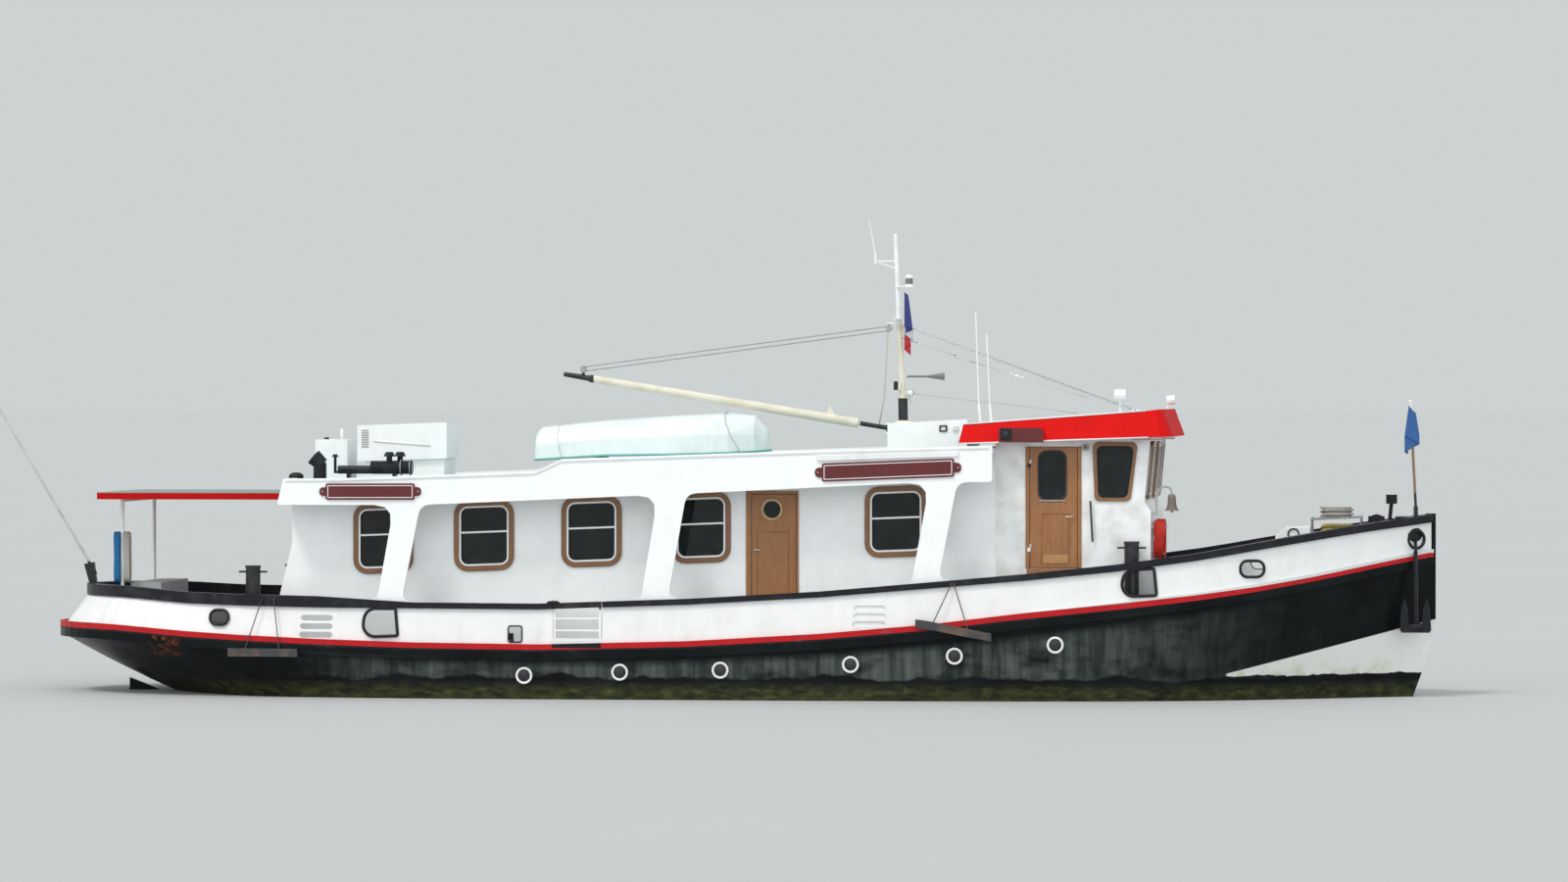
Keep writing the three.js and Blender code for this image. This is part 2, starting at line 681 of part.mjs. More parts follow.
const bridgeFrame = hingeHalf(BRIDGE_HINGE.pin, BRIDGE_HINGE.frame, BRIDGE_HINGE.heights, false);
const bridgeSideBody = join(
  sidePlate(bridgeSide, [-WALL_Y, -WALL_Y + WALL]),
  ...doorStep,
  handrail,
  bridgeFrame,
);
addPair("wheelhouse_side", bridgeSideBody, "white");

// The front is a shallow knuckled wall: rings in X and Z, one a knuckle in Y
const FRONT_KNUCKLES = [[-INSIDE, 0], [-620, 50], [620, 50], [INSIDE, 0]];
const frontProfile = (bulge) => {
  const { foot, ledge, sill, sillX, head } = BRIDGE_FRONT;
  const floor = floorAt(foot) + 25;
  const top = bridgeRoofUnder(foot - WALL) - GAP;
  const outer = [[foot, floor], [foot, ledge], [sillX, sill], [head, top]];
  const inner = outer.map(([x, z]) => [x - WALL, z]).reverse();
  return [...outer, ...inner].map(([x, z]) => [x + bulge, z]);
};
const frontFlats = FRONT_KNUCKLES.map(([, bulge]) => frontProfile(bulge));
const frontShell = loft(
  FRONT_KNUCKLES.map(([y], i) => frontFlats[i].map(([x, z]) => [x, y, z])),
  frontFlats,
);
// Front windows: middle in Y, width
const FRONT_WINDOWS = [[-1195, 960], [0, 1040], [1195, 960]];
const frontHoles = FRONT_WINDOWS.map(([y, width]) =>
  frontPlate(
    outline(
      [[-1, 3240], [1, 3240], [1, 4060], [-1, 4060]].map(([side, z]) => [y + (side * width) / 2, z, 90]),
    ),
    [6400, 7000],
  ),
);
// The front's lower face stands forward of its sides by the bulge at that y
const frontFaceAt = (y) =>
  BRIDGE_FRONT.foot + (50 * Math.min(INSIDE - Math.abs(y), INSIDE - 620)) / (INSIDE - 620);
const HOSE_PEG = { z: 2745, middle: -1530, apart: 160, radius: 14, length: 245 };
const hosePegs = [-0.5, 0.5].map((side) => HOSE_PEG.middle + side * HOSE_PEG.apart).map((y) =>
  join(
    rod(
      [frontFaceAt(y) - 20, y, HOSE_PEG.z],
      [frontFaceAt(y) + HOSE_PEG.length, y, HOSE_PEG.z],
      HOSE_PEG.radius,
      8,
    ),
    rod(
      [frontFaceAt(y) + HOSE_PEG.length - 8, y, HOSE_PEG.z - 6],
      [frontFaceAt(y) + HOSE_PEG.length - 8, y, HOSE_PEG.z + 60],
      HOSE_PEG.radius - 2,
      8,
    ),
  ),
);
add("wheelhouse_front", join(cut(frontShell, ...frontHoles), ...hosePegs), "white");

const bulkheadTop = bridgeRoofUnder(HOUSE.fore) - GAP;
const bulkhead = box([HOUSE.fore + 2, HOUSE.fore + 62], [-INSIDE, INSIDE], [floorAt(4320) + 2, bulkheadTop]);
const bridgeFloor = box([HOUSE.fore + 50, 6640], [-INSIDE, INSIDE], [BRIDGE_FLOOR - 50, BRIDGE_FLOOR]);
add("wheelhouse_bulkhead", join(bulkhead, bridgeFloor), "white");

const STAY_EYE = { x: 6350, y: 650, z: 4596 }; // eye plates for the forestays
const stayEyes = [-STAY_EYE.y, STAY_EYE.y].map((y) =>
  box([STAY_EYE.x, STAY_EYE.x + 30], [y - 15, y + 15], [4520, 4620]),
);
const bridgeRoofPlan = [3840, 6950];
const bridgeRoof = sidePlate(
  outline([
    ...bridgeRoofPlan.map((x) => [x, bridgeRoofUnder(x)]),
    ...bridgeRoofPlan.map((x) => [x, bridgeRoofUnder(x) + 70]).reverse(),
  ]),
  [-2030, 2030],
);
const lampStand = join(
  rod([6150, -450, 4500], [6150, -450, 4780], 18),
  rod([6060, -450, 4850], [6240, -450, 4850], 95, 12),
);
const whips = [[3910, 6190, -600], [4110, 5830, -880]].map(([x, top, y]) =>
  join(rod([x, y, 4360], [x - 30, y, 4700], 22, 6), rod([x - 30, y, 4690], [x - 80, y, top], 11, 5)),
);
const roofLamp = join(
  rod([6815, 1500, 4560], [6815, 1500, 4730], 16, 6),
  rod([6800, 1500, 4765], [6930, 1500, 4775], 80, 12),
);

// Visor: a raked band round the roof edge. Plan of its top edge, from starboard aft round the front
const VISOR_HALF = 2056;
const VISOR_FRONT = 6915;
const VISOR_CORNER = 220;
const VISOR_THICK = 22;
const FLANGE_THICK = 25 - GAP; // the visor's flange lies on the roof
const VISOR_FLARE = { side: 108, front: 160 }; // how far the foot stands out beyond the top
const visorTop = (x) => 4385 + 0.0741 * (x - 3743);
const visorFoot = (x) => 4075 + 0.0342 * (x - 3673);
function visorPlan() {
  const turns = [0, 1, 2, 3].map((i) => (Math.PI / 6) * i);
  const corner = turns.map((turn) => [
    VISOR_FRONT - VISOR_CORNER * (1 - Math.sin(turn)),
    -VISOR_HALF + VISOR_CORNER * (1 - Math.cos(turn)),
    Math.sin(turn),
    -Math.cos(turn),
  ]);
  const side = [3660, -VISOR_HALF, 0, -1];
  const starboard = [side, ...corner].map(([x, y, nx, ny]) => ({ x, y, nx, ny }));
  const port = starboard.map((p) => ({ ...p, y: -p.y, ny: -p.ny })).reverse();
  return [...starboard, ...port];
}
const visorBand = ribbon(visorPlan(), ({ x, nx }) => {
  const flare = THREE.MathUtils.lerp(VISOR_FLARE.side, VISOR_FLARE.front, nx);
  return [
    [0, visorTop(x)],
    [flare, visorFoot(x)],
    [flare - 25, visorFoot(x)],
    [-VISOR_THICK, visorTop(x) - FLANGE_THICK],
    [-75, visorTop(x) - FLANGE_THICK],
    [-75, visorTop(x)],
  ];
});
// Its aft ends slope, foot aft of top
const visorEnd = sidePlate(outline([[3500, 3900], [3633, 3900], [3769, 4500], [3500, 4500]]), [-2500, 2500]);
const visorRoom = ribbon(visorPlan(), ({ x }) => [
  [300, visorTop(x) + 50],
  [300, visorTop(x) - 500],
  [-VISOR_THICK - GAP, visorTop(x) - 500],
  [-VISOR_THICK - GAP, visorTop(x) + 50],
]);
add("wheelhouse_roof", join(cut(bridgeRoof, visorRoom), lampStand, roofLamp, ...stayEyes, ...whips), "white");
const sidelights = [[-2250, -2090], [2090, 2250]].map((y) => box([4345, 5035], y, [4105, 4325]));
add("visor", join(cut(visorBand, visorEnd), ...sidelights), "red");

// Mast casing, mast, stays and boom

const CASING = { aft: 2460, fore: 3740, half: 1200, topAft: 4390, topFore: 4462 };
const casingBody = sidePlate(
  outline([
    ...followed((x) => roofTop(x) + GAP, CASING.aft, CASING.fore, roofKnots),
    [CASING.fore, CASING.topFore],
    [CASING.aft, CASING.topAft],
  ]),
  [-CASING.half, CASING.half],
);
const mastPad = box([CASING.aft + 20, CASING.aft + 280], [-140, 140], [4300, 4412]);
const [pivotX, , pivotZ] = BOOM_PIVOT;
const boomLugs = [[-85, -60], [62, 82]].map(([low, high]) =>
  box([pivotX - 55, CASING.aft + 5], [-50, 50], [pivotZ + low, pivotZ + high]),
);
const boomPin = rod([pivotX, 0, pivotZ - 80], [pivotX, 0, pivotZ + 80], 18, 10);
add("mast_casing", join(casingBody, mastPad, ...boomLugs, boomPin), "white");

const CROSS_Z = 6090;
const MAST_HEAD = [2470, 0, 7470];
const mastBody = join(
  rod([MAST_X, 0, 4412 + GAP], [MAST_X, 0, 4432], 125, 12),
  rod([MAST_X, 0, 4420], [MAST_X - 8, 0, 4830], 78, 12),
  rod([MAST_X - 8, 0, 4820], [MAST_X - 70, 0, CROSS_Z], 52, 12, 45),
  rod([MAST_X - 70, 0, CROSS_Z], MAST_HEAD, 42, 10, 34),
);
const crosspiece = box([2440, 2590], [-170, 170], [CROSS_Z - 10, CROSS_Z + 10]);
const liftArm = box([pivotX - 30, MAST_X - 20], [-25, 25], [6002, 6027]);
const stayTang = box([2540, 2700], [-25, 25], [5890, 5990]);
const aerialArm = join(
  rod([2490, 0, 7020], [2150, 0, 7020], 14, 6),
  rod([2500, 0, 6900], [2200, 0, 6990], 12, 6),
  rod([2150, 0, 6980], [2145, 0, 7150], 24, 8),
  rod([2145, 0, 7140], [2040, 0, 7700], 9, 5),
);
const lantern = join(
  box([2500, 2770], [-140, 60], [6600, 6618]),
  rod([2695, 0, 6610], [2695, 0, 6770], 62, 10),
  rod([2695, 0, 6765], [2695, 0, 6800], 75, 10, 30),
);
const horn = join(
  rod([2590, 0, 5150], [3010, 0, 5150], 16, 8),
  rod([3000, 0, 5150], [3270, 0, 5150], 20, 10, 62),
);
const winch = box([2450, 2560], [-75, 75], [4930, 5070]);
add("mast", join(mastBody, crosspiece, liftArm, stayTang, aerialArm, lantern, horn, winch), "white");

const STAY_RADIUS = 8;
const stayStart = [2700 + 3.1, -12, 5945];
const stayEnd = [STAY_EYE.x - 3.1, -STAY_EYE.y, STAY_EYE.z];
const stay = rod(stayStart, stayEnd, STAY_RADIUS, 6);
const stayShackle = rod(
  [stayStart[0] + 30, -30, stayStart[2] - 8],
  [stayStart[0] + 30, 30, stayStart[2] - 8],
  14,
  8,
);
add("forestays", join(stay, mirrored(stay), stayShackle), "steel");

const BOOM_TIP = [-2970, 0, 5190];
const boomAt = (share) =>
  new THREE.Vector3(...BOOM_PIVOT).lerp(new THREE.Vector3(...BOOM_TIP), share).toArray();
const boomEye = cut(
  rod([pivotX, 0, pivotZ - 60 + GAP], [pivotX, 0, pivotZ + 54], 50, 12),
  rod([pivotX, 0, pivotZ - 61], [pivotX, 0, pivotZ + 60], 23.5, 12),
);
const boomNeck = cut(
  rod(boomAt(0), boomAt(0.1), 38, 10),
  rod([pivotX, 0, pivotZ - 60], [pivotX, 0, pivotZ + 60], 40, 12),
);
const boomFin = sidePlate(outline([[1330, 4500], [1560, 4460], [1480, 4530], [1400, 4700]]), [-8, 8]);
const [liftLugX, , liftLugZ] = boomAt(0.94);
const boomLug = box([liftLugX - 25, liftLugX + 25], [-12, 12], [liftLugZ, liftLugZ + 78]);
add(
  "boom",
  join(
    boomEye,
    boomNeck,
    rod(boomAt(0.095), boomAt(0.92), 80, 12, 62),
    rod(boomAt(0.91), boomAt(1), 50, 10, 38),
    boomFin,
    boomLug,
  ),
  "white",
);

// The topping lift swings with the boom: its upper block hangs on the boom's own axis
const lowerBlock = [liftLugX, 0, liftLugZ + 78 + GAP + 55];
const upperBlock = [pivotX, 0, 5930];
add(
  "topping_lift",
  join(
    rod([lowerBlock[0], -30, lowerBlock[2]], [lowerBlock[0], 30, lowerBlock[2]], 55, 10),
    rod([pivotX, -30, 5930], [pivotX, 30, 5930], 55, 10),
    rod([pivotX, 0, 5960], [pivotX, 0, 6002 - GAP], 12, 8),
    ...[-36, 36].map((offset) =>
      rod([lowerBlock[0], 0, lowerBlock[2] + offset], [upperBlock[0], 0, upperBlock[2] + offset], 8, 6),
    ),
  ),
  "steel",
);

// Awning over the aft deck

const AWNING = { aft: -10420, half: 1700, under: 3158, top: 3268 };
const awningPlan = outline([
  [AWNING.aft, -AWNING.half, 260],
  [-7150, -AWNING.half],
  [-7150, AWNING.half],
  [AWNING.aft, AWNING.half, 260],
]);
// The awning ends against the sloping face of the roof edge
const slopeAt = (z) => -7240 + (103 / 420) * (z - 3090) - GAP;
const awningEnd = sidePlate(
  outline([[slopeAt(3100), 3100], [-7000, 3100], [-7000, 3330], [slopeAt(3330), 3330]]),
  [-1800, 1800],
);
const POST = { x: -10055, y: 1190, radius: 30 };
const deckUnder = (x, spread) => Math.max(floorAt(x - spread), floorAt(x + spread)) + GAP;
const post = (y) =>
  rod([POST.x, y, deckUnder(POST.x, POST.radius)], [POST.x, y, AWNING.under + 10], POST.radius, 10);
const HANK_TOP = 2545;
const crossBar = rod([POST.x - 170, -POST.y, HANK_TOP + 14], [POST.x + 150, -POST.y, HANK_TOP + 14], 12, 6);
const postBeam = box(
  [POST.x - 25, POST.x + 25],
  [-POST.y - 60, POST.y + 60],
  [AWNING.under - 45, AWNING.under + 10],
);
const awningRoof = cut(flatPlate(awningPlan, [AWNING.under, AWNING.top]), awningEnd);
add("awning", join(awningRoof, post(-POST.y), post(POST.y), postBeam, crossBar), "red");

const deckBox = outline([
  ...followed((x) => floorAt(x) + GAP, -9950, -9450, deckKnots),
  [-9450, 1800, 20],
  [-9950, 1800, 20],
]);
add("deck_box", sidePlate(deckBox, [-1050, 1050]), "white");

// Dinghy, keel up on its bearers. Columns: x, half-beam, height of the gunwale, height of the keel
const DINGHY = [
  [-3360, 560, 3775, 4270],
  [-3300, 610, 3780, 4330],
  [-2200, 740, 3850, 4440],
  [-1000, 750, 3868, 4520],
  [-200, 620, 3892, 4556],
  [200, 380, 3912, 4520],
  [380, 160, 3925, 4300],
  [430, 50, 3930, 4080],
];
const dinghyRings = DINGHY.map(([x, half, gunwale, keel]) => {
  const steps = 8;
  const arch = Array.from({ length: steps + 1 }, (_, i) => {
    const turn = (Math.PI * i) / steps;
    const across = Math.sign(Math.cos(turn)) * Math.abs(Math.cos(turn)) ** 0.75;
    return [x, -half * across, gunwale + (keel - gunwale) * Math.sin(turn) ** 0.75];
  });
  return arch;
});
const dinghyShell = loft(dinghyRings);
const bearerRoom = DINGHY_BEARERS.map((x) =>
  box([x - 45, x + 45], [-570, 570], [3600, roofTop(x) + 52 + GAP]),
);
add("dinghy", cut(dinghyShell, ...bearerRoom), "sea");

// Gear on the house roof

// A box-like fitting standing on the roof
const onRoof = (x0, x1, y, top) =>
  sidePlate(outline([...followed((x) => roofTop(x) + GAP, x0, x1, roofKnots), [x1, top], [x0, top]]), y);
const lockerBody = sidePlate(
  outline([[-6286, 3766], [-4813, 3819], [-4813, 4404], [-6286, 4354]]),
  [-590, 590],
);
add("roof_locker", join(onRoof(-6160, -4860, [-530, 530], 3840), lockerBody), "white");
add("roof_cabinet", onRoof(-7016, -6487, [-420, 420], 4120), "white");
const COWL = { x: -6730, y: -1500 };
add(
  "cowl_vent",
  join(
    rod([COWL.x, COWL.y, roofTop(COWL.x) + 1], [COWL.x, COWL.y, 3750], 108, 12),
    rod([COWL.x + 41, COWL.y, 3723], [COWL.x - 103, COWL.y, 3847], 112, 12, 136),
  ),
  "black",
);
const PIPE = { y: -1500, thinZ: 3643, z: 3680 };
const mushroom = (x, y) =>
  join(
    rod([x, PIPE.y, PIPE.z], [x, y, PIPE.z + 30], 44, 10),
    rod([x, y, PIPE.z], [x, y, 3860], 48, 10),
    rod([x, y, 3855], [x, y, 3930], 98, 12, 60),
  );
const pipeSaddles = [-6250, -5500].map((x) =>
  box([x - 30, x + 30], [PIPE.y - 80, PIPE.y + 80], [roofTop(x + 30) + GAP, PIPE.thinZ]),
);
add(
  "exhaust_pipe",
  join(
    rod([-6430, PIPE.y, PIPE.thinZ], [-5870, PIPE.y, PIPE.thinZ], 67, 10),
    rod([-5890, PIPE.y, PIPE.z], [-5215, PIPE.y, PIPE.z], 108, 12),
    ...[-5409, -5257].map((x) => rod([x, PIPE.y, PIPE.z], [x + 22, PIPE.y, PIPE.z], 124, 12)),
    mushroom(-5592, PIPE.y),
    mushroom(-5442, PIPE.y + 150),
    ...pipeSaddles,
    rod([-6480, PIPE.y, PIPE.thinZ - 50], [-6480, PIPE.y, 3850], 24, 8),
    rod([-6480, PIPE.y, 3847], [-6480, PIPE.y, 3892], 62, 10, 30),
    rod([-6500, PIPE.y, PIPE.thinZ - 40], [-6400, PIPE.y, PIPE.thinZ - 40], 20, 6),
  ),
  "black",
);

// Deck fittings, set down into the deck's own surface

// A fitting is made a little deep and cut by the deck, either way round
const onDeck = (made) => cut(made, deckBlank(GAP), mirrored(deckBlank(GAP)));

const WINDLASS = { x: 10250, z: 2790 };
const windlassDeck = floorAt(WINDLASS.x);
const drum = (y0, y1, radius) => rod([WINDLASS.x, y0, WINDLASS.z], [WINDLASS.x, y1, WINDLASS.z], radius, 12);
const windlass = join(
  box([10060, 10440], [-330, 330], [windlassDeck - 30, windlassDeck + 40]),
  ...[-300, 270].map((y) => box([10140, 10360], [y, y + 30], [windlassDeck + 20, WINDLASS.z + 60])),
  box([10120, 10380], [-110, 110], [windlassDeck + 20, 2900]),
  drum(-460, 460, 45),
  drum(-240, -130, 140),
  drum(130, 240, 140),
  drum(-460, -340, 105),
  drum(340, 460, 105),
  rod([10400, 60, windlassDeck + 20], [10490, 60, 3120], 32, 8),
  rod([10492, 60, 3098], [10492, 60, 3245], 92, 14),
);
add("windlass", onDeck(windlass), "black");

// Stockless anchors, their shanks hung from the hawse holes
const anchorShank = join(
  rod([10880, -330, 2518], [10882, -452, 2455], 26, 8),
  rod([10882, -446, 2462], [10884, -490, 2330], 26, 8),
  rod([10884, -490, 2345], [10886, -500, 1180], 34, 8, 42),
);
const anchorCrown = rod([10660, -505, 1120], [11110, -505, 1120], 78, 10);
const fluke = (x) =>
  sidePlate(
    outline([[x - 75, 1080], [x + 75, 1080], [x + 55, 1420], [x, 1610], [x - 55, 1420]]),
    [-620, -580],
  );
const flukeRoot = (x) => box([x - 70, x + 70], [-615, -500], [1070, 1170]);
const anchorMade = join(anchorShank, anchorCrown, ...[10710, 11060].flatMap((x) => [fluke(x), flukeRoot(x)]));
addPair("anchor", anchorMade, "black");

// Staffs and their flags

const BOW_STAFF = { x: 10880, headX: 10790, top: 4740, radius: 22 };
add(
  "bow_staff",
  join(
    rod([BOW_STAFF.x, 0, 2895 + GAP], [BOW_STAFF.x, 0, 2910], 75, 10),
    rod([BOW_STAFF.x, 0, 2905], [BOW_STAFF.x, 0, 3060], 36, 8),
    rod([BOW_STAFF.x, 0, 3040], [BOW_STAFF.headX, 0, BOW_STAFF.top], BOW_STAFF.radius, 8),
    rod([BOW_STAFF.headX, 0, BOW_STAFF.top - 5], [BOW_STAFF.headX, 0, BOW_STAFF.top + 25], 34, 8, 20),
  ),
  "wood",
);
// The jack hangs limp along the staff's starboard side
const jackFace = -BOW_STAFF.radius - GAP;
const jackOutline = [
  [10765, 4640],
  [10770, 4690],
  [10812, 4690],
  [10944, 4116],
  [10850, 3990],
  [10695, 3890],
];
add("pennant", sidePlate(outline(jackOutline), [jackFace - 42, jackFace]), "blue");

const ENSIGN_TOP = [-12680, 0, 5100];
add(
  "ensign_staff",
  join(
    sidePlate(
      outline([[-10875, 1760 + GAP], [-10755, 1760 + GAP], [-10800, 2095], [-10960, 2065]]),
      [-55, 55],
    ),
    rod([-10770, 0, 1900], ENSIGN_TOP, 26, 8, 20),
    rod(ENSIGN_TOP, [ENSIGN_TOP[0] - 14, 0, ENSIGN_TOP[2] + 28], 34, 8, 20),
  ),
  "steel",
);
add("flag", box([2612, 2762], [-140, -80], [5460, 6600 - GAP]), "red");

// Propeller and rudder

const HUB = { fore: FIN_AFT - 60 - GAP, aft: FIN_AFT - 330, radius: 92 };
const hubMiddle = (HUB.fore + HUB.aft) / 2;
// Blade sections: distance from the shaft, chord, pitch angle in degrees, thickness
const BLADE = [
  [70, 150, 62, 30],
  [200, 250, 45, 26],
  [350, 300, 33, 20],
  [480, 250, 27, 14],
  [560, 110, 24, 9],
];
function blade(angle) {
  const rings = BLADE.map(([reach, chord, pitch, thick]) => {
    const tilt = THREE.MathUtils.degToRad(pitch);
    const corners = [[-chord / 2, 0], [0, -thick / 2], [chord / 2, 0], [0, thick / 2]];
    return corners.map(([along_, off]) => {
      const point = new THREE.Vector3(
        along_ * Math.sin(tilt) + off * Math.cos(tilt),
        along_ * Math.cos(tilt) - off * Math.sin(tilt),
        reach,
      );
      point.applyAxisAngle(new THREE.Vector3(1, 0, 0), angle);
      return [hubMiddle + point.x, point.y, SHAFT_Z + point.z];
    });
  });
  const flats = BLADE.map(([, chord, , thick]) => [
    [-chord / 2, 0],
    [0, -thick / 2],
    [chord / 2, 0],
    [0, thick / 2],
  ]);
  return loft(rings, flats);
}
const blades = [0, 1, 2, 3].map((i) => blade((i * Math.PI) / 2));
add(
  "propeller",
  join(
    rod([HUB.fore, 0, SHAFT_Z], [HUB.aft, 0, SHAFT_Z], HUB.radius, 12, 70),
    rod([HUB.aft + 1, 0, SHAFT_Z], [HUB.aft - 90, 0, SHAFT_Z], 68, 12, 22),
    ...blades,
  ),
  "bronze",
);

const RUDDER_FOOT = SOLE_Z + 90 + 15;
add(
  "rudder",
  join(
    sidePlate(
      outline([[-10200, 200], [-9150, -200], [-9150, RUDDER_FOOT, 60], [-10200, RUDDER_FOOT, 120]]),
      [-32, 32],
    ),
    rod([RUDDER_X, 0, -400], [RUDDER_X, 0, 400], 40, 10),
    rod([RUDDER_X, 0, SOLE_Z + 90 + GAP], [RUDDER_X, 0, RUDDER_FOOT + 200], 30, 10),
  ),
  "black",
);

// Doors

function doorLeaf({ x0, x1, z0, z1 }, y0, cutout, clearBelow = DOOR_CLEAR) {
  const leaf = outline([
    [x0 + DOOR_CLEAR, z0 + clearBelow],
    [x1 - DOOR_CLEAR, z0 + clearBelow],
    [x1 - DOOR_CLEAR, z1 - DOOR_CLEAR],
    [x0 + DOOR_CLEAR, z1 - DOOR_CLEAR],
  ]);
  leaf.holes.push(cutout);
  return sidePlate(leaf, [y0, y0 + DOOR_THICK]);
}
const lever = (x, z, y, turn) =>
  join(
    box([x - 22, x + 22], [y - 6, y + 4], [z - 110, z + 90]),
    rod([x, y, z], [x, y - 55, z], 11, 8),
    rod([x - 4 * turn, y - 50, z], [x + 105 * turn, y - 50, z], 10, 8),
  );
const round_ = (x, z, radius) => new THREE.Path().absarc(x, z, radius, 0, 2 * Math.PI, true);
const SALOON_LEAF_Y = -WALL_Y + 10;
const saloonLeaf = doorLeaf(SALOON_DOOR, SALOON_LEAF_Y, round_(672, 3020, 150));
const saloonKnuckles = hingeHalf(SALOON_HINGE.pin, SALOON_HINGE.leaf, SALOON_HINGE.heights, true);
addPair("saloon_door", join(saloonLeaf, lever(388, 2375, SALOON_LEAF_Y, 1), saloonKnuckles), "wood");

const BRIDGE_LEAF_Y = -WALL_Y + 5;
const bridgeLight = outline(
  [[4935, 3176, 130], [5380, 3176, 130], [5380, 3960, 130], [4935, 3960, 130]],
  new THREE.Path(),
);
const bridgeLeaf = doorLeaf(BRIDGE_DOOR, BRIDGE_LEAF_Y, bridgeLight, 10);
const bridgeKnuckles = hingeHalf(BRIDGE_HINGE.pin, BRIDGE_HINGE.leaf, BRIDGE_HINGE.heights, true);
addPair("wheelhouse_door", join(bridgeLeaf, lever(5475, 2915, BRIDGE_LEAF_Y, -1), bridgeKnuckles), "wood");

// Gates: a length of the rail on a light frame, between the parted ends
const GATE_LEAF = { aft: GATE.aft + 8, fore: GATE.fore - 24, foot: GATE.foot + 8, bars: [1101, 1291] };
const gateRail = cut(
  railBand(0),
  portHalf,
  box([-12000, GATE_LEAF.aft], [-3000, 3000], [0, 4000]),
  box([GATE_LEAF.fore, 12000], [-3000, 3000], [0, 4000]),
);
const GATE_BAR = { half: 13, y: [-2568, -2538] };
const gateStiles = [GATE_LEAF.aft, GATE_LEAF.fore - 34].map((x) =>
  box([x, x + 34], GATE_BAR.y, [GATE_LEAF.foot, along(railFoot, x) + 25]),
);
const gateBars = GATE_LEAF.bars.map((z) =>
  box([GATE_LEAF.aft + 5, GATE_LEAF.fore - 5], GATE_BAR.y, [z - GATE_BAR.half, z + GATE_BAR.half]),
);
const gateKnuckles = hingeHalf(GATE_HINGE.pin, GATE_HINGE.leaf, GATE_HINGE.heights, true);
addPair("gate", join(gateRail, ...gateStiles, ...gateBars, gateKnuckles), "white");

// Bell on its gooseneck, in front of the wheelhouse

const BELL = { x: 7045, y: -1650, crown: 3270, mouth: 3010 };
const gooseneckPath = new THREE.CatmullRomCurve3(
  [
    [6800, 2935],
    [6800, 3050],
    [6802, 3270],
    [6835, 3355],
    [6900, 3385],
    [6985, 3385],
    [7035, 3350],
    [7045, 3260],
  ].map(
    ([x, z]) => new THREE.Vector3(x, BELL.y, z),
  ),
);
const pipeSection = new THREE.Shape().absarc(0, 0, 17, 0, 2 * Math.PI);
const gooseneck = solid(
  new THREE.ExtrudeGeometry(pipeSection, { extrudePath: gooseneckPath, steps: 16, curveSegments: 4 }),
);
const bellFoot = box([frontFaceAt(BELL.y + 22) + GAP, 6800], [BELL.y - 22, BELL.y + 22], [2945, 2990]);
const bellBody = turned([BELL.x, BELL.y], [
  [0, BELL.crown],
  [45, BELL.crown],
  [64, 3232],
  [72, 3110],
  [90, 3050],
  [122, BELL.mouth],
  [112, BELL.mouth],
  [80, 3050],
  [60, 3110],
  [52, 3220],
  [0, 3230],
], 14);
const clapper = rod([BELL.x, BELL.y, 3235], [BELL.x, BELL.y, 2985], 12, 6, 24);
add("bell", join(gooseneck, bellFoot, bellBody, clapper), "brass");

// Hose and ropes: each coil or hank is one plain ring of its outer shape

function hank(middle, length, width, thick) {
  const [first, second] = middle;
  const ring = (side, tall) => [
    [first - side, second - tall, side],
    [first + side, second - tall, side],
    [first + side, second + tall, side],
    [first - side, second + tall, side],
  ];
  const shape = outline(ring(width / 2, length / 2));
  shape.holes.push(outline(ring(width / 2 - thick, length / 2 - thick), new THREE.Path()));
  return shape;
}
const HOSE = { x: 6850, length: 650, width: 440, thick: 95, half: 95 };
const hoseBend = HOSE.width / 2 - HOSE.thick;
const bendOverPegs = Math.sqrt((hoseBend - HOSE_PEG.radius - GAP) ** 2 - (HOSE_PEG.apart / 2) ** 2);
const HOSE_SETTLE = 3.4; // the hose beds down on its pegs
const hoseMiddle = HOSE_PEG.z - bendOverPegs + hoseBend + HOSE.thick - HOSE.length / 2 - HOSE_SETTLE;
add(
  "hose_coil",
  frontPlate(
    hank([HOSE_PEG.middle, hoseMiddle], HOSE.length, HOSE.width, HOSE.thick),
    [HOSE.x - HOSE.half, HOSE.x + HOSE.half],
  ),
  "hose",
);

// Two hanks over the cross-bar of the awning post
const BAR_Z = HANK_TOP + 14;
const hankAt = (x, length, width, thick, half) => {
  const middle = BAR_Z + 12 + GAP + thick - length / 2;
  return frontPlate(hank([-POST.y, middle], length, width, thick), [x - half, x + half]);
};
add("rope_hank_blue", hankAt(POST.x - 82, 840, 190, 60, 50), "blue");
add("rope_hank_white", hankAt(POST.x + 82, 840, 190, 60, 50), "rope");

// Rack for mooring ropes on the foredeck, with one coil on its tray and one on top
const RACK = { aft: 9200, fore: 10030, half: 330, tray: 2640, rail: 2880 };
const COIL_X = (RACK.aft + RACK.fore) / 2;
const rackLegs = [RACK.aft + 20, RACK.fore - 20].flatMap((x) =>
  [-RACK.half + 20, RACK.half - 20].map((y) => rod([x, y, floorAt(x) - 20], [x, y, RACK.rail], 14, 6)),
);
const rackRails = [-RACK.half + 20, RACK.half - 20].map((y) =>
  rod([RACK.aft, y, RACK.rail - 30], [RACK.fore, y, RACK.rail + 10], 14, 6),
);
const rackEnds = [[RACK.aft + 20, -28], [RACK.fore - 20, 8]].map(([x, rise]) =>
  rod([x, -RACK.half, RACK.rail + rise], [x, RACK.half, RACK.rail + rise], 14, 6),
);
const rackBars = [-130, 130].map((along_) =>
  box(
    [COIL_X + along_ - 14, COIL_X + along_ + 14],
    [-RACK.half + 8, RACK.half - 8],
    [RACK.rail - 30, RACK.rail],
  ),
);
